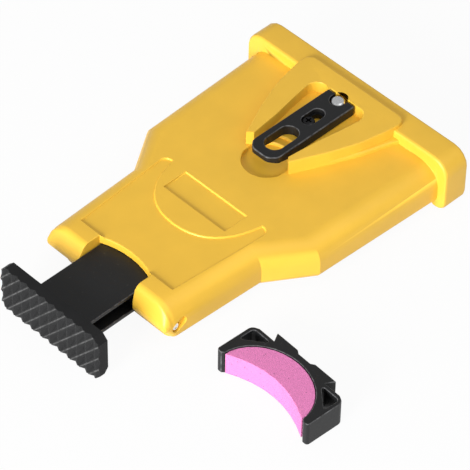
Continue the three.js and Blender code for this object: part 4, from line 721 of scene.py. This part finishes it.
class SHARPENER_OT_black_parts(bpy.types.Operator):
    """Makes the latch, the slide and the two stone holders"""

    bl_idname = "sharpener.black_parts"
    bl_label = "Black mouldings"

    def execute(self, context):
        look = context.scene.sharpener_black
        black = moulded_plastic(
            "black_moulding", look.colour, look.roughness,
            grain=0.4 * MM, depth=0.012 * MM, mottle=0.10, gloss=0.42)
        # Paler rounded edges: handling wear, and a painted highlight along the rims
        wear_and_highlight_edges(black, look.wear_and_highlight)

        # The latch is rounded on its upper edges, the slide all over, and the holders above their feet
        latch_rim = 25 * MM
        foot_height = 1 * MM
        moulded(
            "latch_plate", "latch_moulding", "latch", "black_plastic", black,
            (look.fillet, rims(latch_rim)))
        moulded(
            "slide_carriage", "slide_moulding", "carriage", "black_plastic", black,
            (look.fillet, rims(top=False)))
        for node, name, body in (
            ("stone_holder", "holder_moulding", "carriage"),
            ("spare_stone_holder", "spare_holder_moulding", "spare_cartridge"),
        ):
            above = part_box(node)[0].z + foot_height
            moulded(node, name, body, "black_plastic", black, (look.fillet, rims(above, top=False)))
        return {"FINISHED"}


class SHARPENER_OT_stones(bpy.types.Operator):
    """Makes the installed and the spare grinding stone"""

    bl_idname = "sharpener.stones"
    bl_label = "Grinding stones"

    def execute(self, context):
        look = context.scene.sharpener_stone
        pink = abrasive_stone("pink_abrasive", look.colour, look.grit)
        wear_and_highlight = (look.fillet, rims(top=False))
        moulded("grinding_stone", "stone", "carriage", "pink_stone", pink, wear_and_highlight)
        moulded("spare_grinding_stone", "spare_stone", "spare_cartridge", "pink_stone", pink, wear_and_highlight)
        return {"FINISHED"}


# Turned and wound pieces


def turned(name, profile, sides=40, edge=0.1 * MM):
    """A piece turned about Z: a disc drawn through (radius, height) steps, its corners broken.

    The first and the last step are closed faces, and the last draws the end in to a small disc."""
    bpy.ops.object.select_all(action="DESELECT")
    radius, level = profile[0]
    bpy.ops.mesh.primitive_circle_add(vertices=sides, radius=radius, fill_type="NGON", location=(0, 0, level))
    obj = bpy.context.object
    obj.name = name
    bpy.ops.object.mode_set(mode="EDIT")
    bpy.ops.mesh.select_all(action="SELECT")
    for wider, height in profile[1:]:
        bpy.ops.mesh.extrude_region_move(TRANSFORM_OT_translate={"value": (0, 0, height - level)})
        share = wider / radius
        bpy.ops.transform.resize(value=(share, share, 1), center_override=(0, 0, height))
        radius, level = wider, height
    bpy.ops.mesh.select_all(action="SELECT")
    bpy.ops.mesh.normals_make_consistent(inside=False)
    bpy.ops.object.mode_set(mode="OBJECT")
    bpy.ops.object.transform_apply(location=True, rotation=True, scale=True)
    bevel = obj.modifiers.new("broken corners", "BEVEL")
    bevel.width = edge
    bevel.segments = 2
    bevel.limit_method = "ANGLE"
    bevel.angle_limit = math.radians(25)
    apply(obj, bevel)
    return obj


def pick_faces(obj, test):
    """In edit mode, selects the faces whose direction passes the test."""
    bpy.ops.mesh.select_all(action="DESELECT")
    bpy.ops.object.mode_set(mode="OBJECT")
    for face in obj.data.polygons:
        face.select = test(face.normal)
    bpy.ops.object.mode_set(mode="EDIT")
    bpy.ops.mesh.select_mode(type="FACE")


def cross_recess(obj, top, reach, half, depth):
    """Cuts a cross, tapered towards its floor, into the face at the given height."""
    taper = 0.72
    for long, short in ((reach, half), (half, reach)):
        bpy.ops.object.select_all(action="DESELECT")
        bpy.ops.mesh.primitive_cube_add(size=2, location=(0, 0, top), scale=(long, short, depth))
        bar = bpy.context.object
        bpy.ops.object.transform_apply(location=True, rotation=True, scale=True)
        bpy.ops.object.mode_set(mode="EDIT")
        pick_faces(bar, lambda normal: normal.z < LOOKS_DOWN)
        bpy.ops.transform.resize(value=(taper, taper, 1), center_override=(0, 0, top - depth))
        bpy.ops.object.mode_set(mode="OBJECT")
        join_or_cut(obj, bar, "DIFFERENCE")


def placed(obj, name, place):
    """A copy of a piece with its own mesh, moved to its place."""
    copy = bpy.data.objects.new(name, obj.data.copy())
    bpy.context.scene.collection.objects.link(copy)
    copy.data.transform(place)
    return copy


class SHARPENER_OT_pins(bpy.types.Operator):
    """Turns the hinge pins, the lock pin and the locating pin"""

    bl_idname = "sharpener.pins"
    bl_label = "Pins"

    def execute(self, context):
        look = context.scene.sharpener_steel
        steel = plated_steel("zinc_plated_pin", look.colour, look.roughness)
        bore, bore_end = look.bore_radius, 8 * MM
        chamfer = look.chamfer
        for node, name, head, groove in (
            ("lock_pin", "turned_lock_pin", look.lock_head, look.lock_groove),
            ("locating_pin", "turned_locating_pin", 0, 0),
        ):
            low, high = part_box(node)
            collar = (high.x - low.x) / 2
            radius = look.lock_radius if head else look.locating_radius
            seat, shoulder = low.z, low.z + look.collar_height
            profile = [(bore, bore_end), (bore, seat), (collar, seat), (collar, shoulder), (radius, shoulder)]
            if head:
                under = high.z - head
                profile += [(radius, under - groove), (look.groove_radius, under - groove)]
                profile += [(look.groove_radius, under), (radius, under)]
            disc = radius * 0.12
            profile += [(radius, high.z - chamfer), (radius - chamfer, high.z), (disc, high.z)]
            pin = turned(name, profile, sides=48)
            pin.data.transform(Matrix.Translation(((low.x + high.x) / 2, 0, 0)))
            smooth(pin, limit=30)
            stand_in(pin, "base", steel, node)

        # The hinge pins lie across, and their outer ends have a shallow centre mark
        low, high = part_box("hinge_pin_left")
        radius = (high.x - low.x) / 2
        half = (high.y - low.y) / 2
        chamfer = 0.3 * MM
        mark, mark_floor, mark_depth = radius * 0.45, radius * 0.3, 0.15 * MM
        profile = [(radius - chamfer, -half), (radius, chamfer - half), (radius, half - chamfer)]
        profile += [(radius - chamfer, half), (mark, half), (mark_floor, half - mark_depth)]
        model = turned("hinge_pin_model", profile, edge=0.06 * MM)
        smooth(model, limit=30)
        for side, node in ((1, "hinge_pin_left"), (-1, "hinge_pin_right")):
            low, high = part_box(node)
            middle = (low + high) / 2
            turn = Matrix.Rotation(math.radians(-90 * side), 4, "X")
            pin = placed(model, "turned_" + node, Matrix.Translation(middle) @ turn)
            stand_in(pin, "base", steel, node)
        bpy.data.objects.remove(model)
        return {"FINISHED"}


class SHARPENER_OT_screws(bpy.types.Operator):
    """Makes the cross-head screws of the latch, the strap and the pins"""

    bl_idname = "sharpener.screws"
    bl_label = "Screws"

    def execute(self, context):
        look = context.scene.sharpener_screws
        black = plated_steel("black_oxide_screw", look.colour, roughness=0.36)
        wear_and_highlight_edges(black, look.wear_and_highlight)
        tip = 0.3 * MM
        disc_share = 0.1

        low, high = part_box("latch_screw")
        top = high.z
        head = (high.x - low.x) / 2
        neck = top - look.head_height
        shank = look.shank_radius
        side, dome, crown = 0.7 * MM, 0.28 * MM, 0.8 * MM
        profile = [(shank - tip, low.z), (shank, low.z + tip), (shank, neck), (head, neck)]
        profile += [(head, top - side), (head - dome, top - dome), (head - crown, top)]
        profile += [(head * disc_share, top)]
        screw = turned("cross_head_latch_screw", profile, sides=48)
        cross_recess(screw, top, look.cross / 2, look.cross_width / 2, look.cross_depth)
        screw.data.transform(Matrix.Translation(((low.x + high.x) / 2, 0, 0)))
        smooth(screw, limit=30)
        stand_in(screw, "cover", black, "latch_screw")

        # The screws under the base have pan heads that point down, and the strap's are countersunk
        rounded = 0.25 * MM
        pan_side, sunk_side = 0.3 * MM, 0.02 * MM
        cross_depth = 0.8 * MM
        for nodes, pan in (
            (("lock_pin_screw", "locating_pin_screw"), True),
            (("strap_screw_left", "strap_screw_right"), False),
        ):
            low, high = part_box(nodes[0])
            length = high.z - low.z
            head = (high.x - low.x) / 2
            shank = look.base_shank_radius if pan else look.strap_shank_radius
            if pan:
                rim = [(shank, -look.pan_height), (head, -look.pan_height), (head, -pan_side)]
            else:
                rim = [(shank, -look.sink_height), (head, -sunk_side)]
            profile = [(shank - tip, -length), (shank, tip - length)]
            profile += rim + [(head - rounded, 0), (head * disc_share, 0)]
            model = turned("screw_model", profile, edge=0.05 * MM)
            reach = min(look.cross / 2, head * 0.75)
            cross_recess(model, 0, reach, look.cross_width / 2, cross_depth)
            smooth(model, limit=30)
            for node in nodes:
                low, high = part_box(node)
                middle = (low + high) / 2
                if pan:
                    place = Matrix.Translation((middle.x, middle.y, low.z)) @ Matrix.Rotation(math.pi, 4, "X")
                else:
                    place = Matrix.Translation((middle.x, middle.y, high.z))
                stand_in(placed(model, "cross_head_" + node, place), "base", black, node)
            bpy.data.objects.remove(model)
        return {"FINISHED"}


class SHARPENER_OT_springs(bpy.types.Operator):
    """Winds the two return springs, with closed end turns"""

    bl_idname = "sharpener.springs"
    bl_label = "Return springs"

    def execute(self, context):
        look = context.scene.sharpener_springs
        steel = plated_steel("spring_wire", look.colour, roughness=0.3)
        low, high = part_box("return_spring_left")
        wire = look.wire / 2
        length = high.x - low.x - look.wire
        sides, steps = 12, 28
        closed_pitch = look.wire * 1.04
        bpy.ops.object.select_all(action="DESELECT")
        bpy.ops.mesh.primitive_circle_add(vertices=sides, radius=wire, location=(0, 0, 0))
        model = context.object
        model.data.transform(Matrix.Translation((0, (high.y - low.y) / 2 - wire, 0)))
        coil = model.modifiers.new("coil", "SCREW")
        coil.axis = "X"
        coil.iterations = look.turns
        coil.screw_offset = length / look.turns
        coil.steps = coil.render_steps = steps
        coil.use_merge_vertices = False
        apply(model, coil)

        # The end turns close up: a ring's shift follows how far it is along the wire
        rings = steps * look.turns
        closed = look.closed_turns / look.turns
        tight = closed_pitch * look.closed_turns / length
        for index, vertex in enumerate(model.data.vertices):
            share = (index // sides) / rings
            near = min(share, 1 - share)
            if near < closed:
                even = near / closed * tight
            else:
                even = tight + (near - closed) / (0.5 - closed) * (0.5 - tight)
            vertex.co.x += (even - near) * length * (1 if share < 0.5 else -1)
        bpy.ops.object.mode_set(mode="EDIT")
        bpy.ops.mesh.select_all(action="SELECT")
        bpy.ops.mesh.fill_holes(sides=sides)
        bpy.ops.mesh.select_all(action="SELECT")
        bpy.ops.mesh.normals_make_consistent(inside=False)
        bpy.ops.object.mode_set(mode="OBJECT")
        alone(model)
        bpy.ops.object.shade_smooth_by_angle(angle=math.radians(50))

        for node in ("return_spring_left", "return_spring_right"):
            low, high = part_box(node)
            middle = (low + high) / 2
            spring = placed(model, "wound_" + node, Matrix.Translation((low.x + wire, middle.y, middle.z)))
            stand_in(spring, "base", steel, node)
            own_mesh(spring)
        bpy.data.objects.remove(model)
        return {"FINISHED"}


class SHARPENER_OT_fittings(bpy.types.Operator):
    """Gives the strap, the bush and the roll pin their metal finish"""

    bl_idname = "sharpener.fittings"
    bl_label = "Strap, bush and roll pin"

    def execute(self, context):
        look = context.scene.sharpener_steel
        steel = plated_steel("rolled_steel", look.colour, look.roughness + 0.08, pitch=0.8 * MM)
        for node in ("slide_strap", "latch_bush", "pad_roll_pin"):
            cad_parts[node].material_slots[0].material = steel
        return {"FINISHED"}


# Studio


class SHARPENER_OT_studio(bpy.types.Operator):
    """Builds the floor, the lamps and the camera"""

    bl_idname = "sharpener.studio"
    bl_label = "Pale studio"

    def execute(self, context):
        look = context.scene.sharpener_studio
        scene = context.scene
        below = -0.2 * MM
        bpy.ops.object.select_all(action="DESELECT")
        bpy.ops.mesh.primitive_plane_add(size=6, location=(0, 0, below))
        floor = context.object
        floor.name = "floor"
        material, tree, surface = shader("pale_floor")[:3]
        surface.inputs["Base Color"].default_value = (0.80, 0.80, 0.80, 1)
        surface.inputs["Roughness"].default_value = 0.9
        surface.inputs["Specular IOR Level"].default_value = 0.0
        glow = tree.nodes.new("ShaderNodeEmission")
        glow.inputs["Strength"].default_value = 1
        rays = tree.nodes.new("ShaderNodeLightPath")
        mirrored = combine(
            tree, "MAXIMUM", rays.outputs["Is Glossy Ray"], rays.outputs["Is Transmission Ray"])
        watched = combine(tree, "MAXIMUM", rays.outputs["Is Camera Ray"], mirrored)
        blend = tree.nodes.new("ShaderNodeMixShader")
        tree.links.new(combine(tree, "MULTIPLY", watched, look.backdrop), blend.inputs["Fac"])
        tree.links.new(surface.outputs[0], blend.inputs[1])
        tree.links.new(glow.outputs[0], blend.inputs[2])
        tree.links.new(blend.outputs[0], tree.nodes["Material Output"].inputs["Surface"])
        dress(floor, material)

        world = bpy.data.worlds.new("studio")
        scene.world = world
        world.use_nodes = True
        back = world.node_tree.nodes["Background"]
        back.inputs["Color"].default_value = (1, 1, 1, 1)
        back.inputs["Strength"].default_value = look.ambient

        # Both lamps look at the origin
        for name, place, size, power in (
            ("key", (-1.41, -0.24, 0.39), 0.6, look.key_power),
            ("fill", (0.2, -0.6, 1.2), 1.0, look.fill_power),
        ):
            bpy.ops.object.light_add(type="AREA", location=place)
            lamp = context.object
            lamp.name = name
            lamp.data.size = size
            lamp.data.energy = power
            lamp.rotation_euler = (-Vector(place)).to_track_quat("-Z", "Y").to_euler()

        # The camera looks at its target from its azimuth and elevation, turned by its roll
        back_way = Vector((
            math.sin(look.azimuth) * math.cos(look.elevation),
            -math.cos(look.azimuth) * math.cos(look.elevation),
            math.sin(look.elevation)))
        right = Vector((math.cos(look.azimuth), math.sin(look.azimuth), 0))
        up = back_way.cross(right)
        turned_right = right * math.cos(look.roll) + up * math.sin(look.roll)
        turned_up = up * math.cos(look.roll) - right * math.sin(look.roll)
        data = bpy.data.cameras.new("camera")
        camera = bpy.data.objects.new("camera", data)
        scene.collection.objects.link(camera)
        data.lens = look.focal
        data.sensor_width = 36
        data.clip_end = 20
        pose = Matrix((turned_right, turned_up, back_way)).transposed().to_4x4()
        pose.translation = Vector(look.target) + back_way * look.distance
        camera.matrix_world = pose
        scene.camera = camera
        scene.view_settings.view_transform = "Standard"
        return {"FINISHED"}


# Panel, registration and the run


class VIEW3D_PT_sharpener(bpy.types.Panel):
    """Lists the steps and their settings"""

    bl_idname = "VIEW3D_PT_sharpener"
    bl_label = "Sharpener"
    bl_space_type = "VIEW_3D"
    bl_region_type = "UI"
    bl_category = "Sharpener"

    def draw(self, context):
        for step in STEPS:
            self.layout.operator(step.bl_idname)
        for attribute, group in GROUPS.items():
            box = self.layout.box()
            for name in group.__annotations__:
                box.prop(getattr(context.scene, attribute), name)


GROUPS = {
    "sharpener_housing": HousingSettings,
    "sharpener_black": BlackPartSettings,
    "sharpener_pad": PadSettings,
    "sharpener_stone": StoneSettings,
    "sharpener_steel": SteelSettings,
    "sharpener_screws": ScrewSettings,
    "sharpener_springs": SpringSettings,
    "sharpener_studio": StudioSettings,
}
STEPS = (
    SHARPENER_OT_housing,
    SHARPENER_OT_push_pad,
    SHARPENER_OT_black_parts,
    SHARPENER_OT_stones,
    SHARPENER_OT_pins,
    SHARPENER_OT_screws,
    SHARPENER_OT_springs,
    SHARPENER_OT_fittings,
    SHARPENER_OT_studio,
)
CLASSES = (*GROUPS.values(), *STEPS, VIEW3D_PT_sharpener)


def register():
    for kind in CLASSES:
        bpy.utils.register_class(kind)
    for attribute, group in GROUPS.items():
        setattr(bpy.types.Scene, attribute, bpy.props.PointerProperty(type=group))


def unregister():
    for attribute in GROUPS:
        delattr(bpy.types.Scene, attribute)
    for kind in reversed(CLASSES):
        bpy.utils.unregister_class(kind)


def main():
    register()
    for step in STEPS:
        getattr(bpy.ops.sharpener, step.bl_idname.split(".")[1])()


if __name__ == "__main__":
    main()
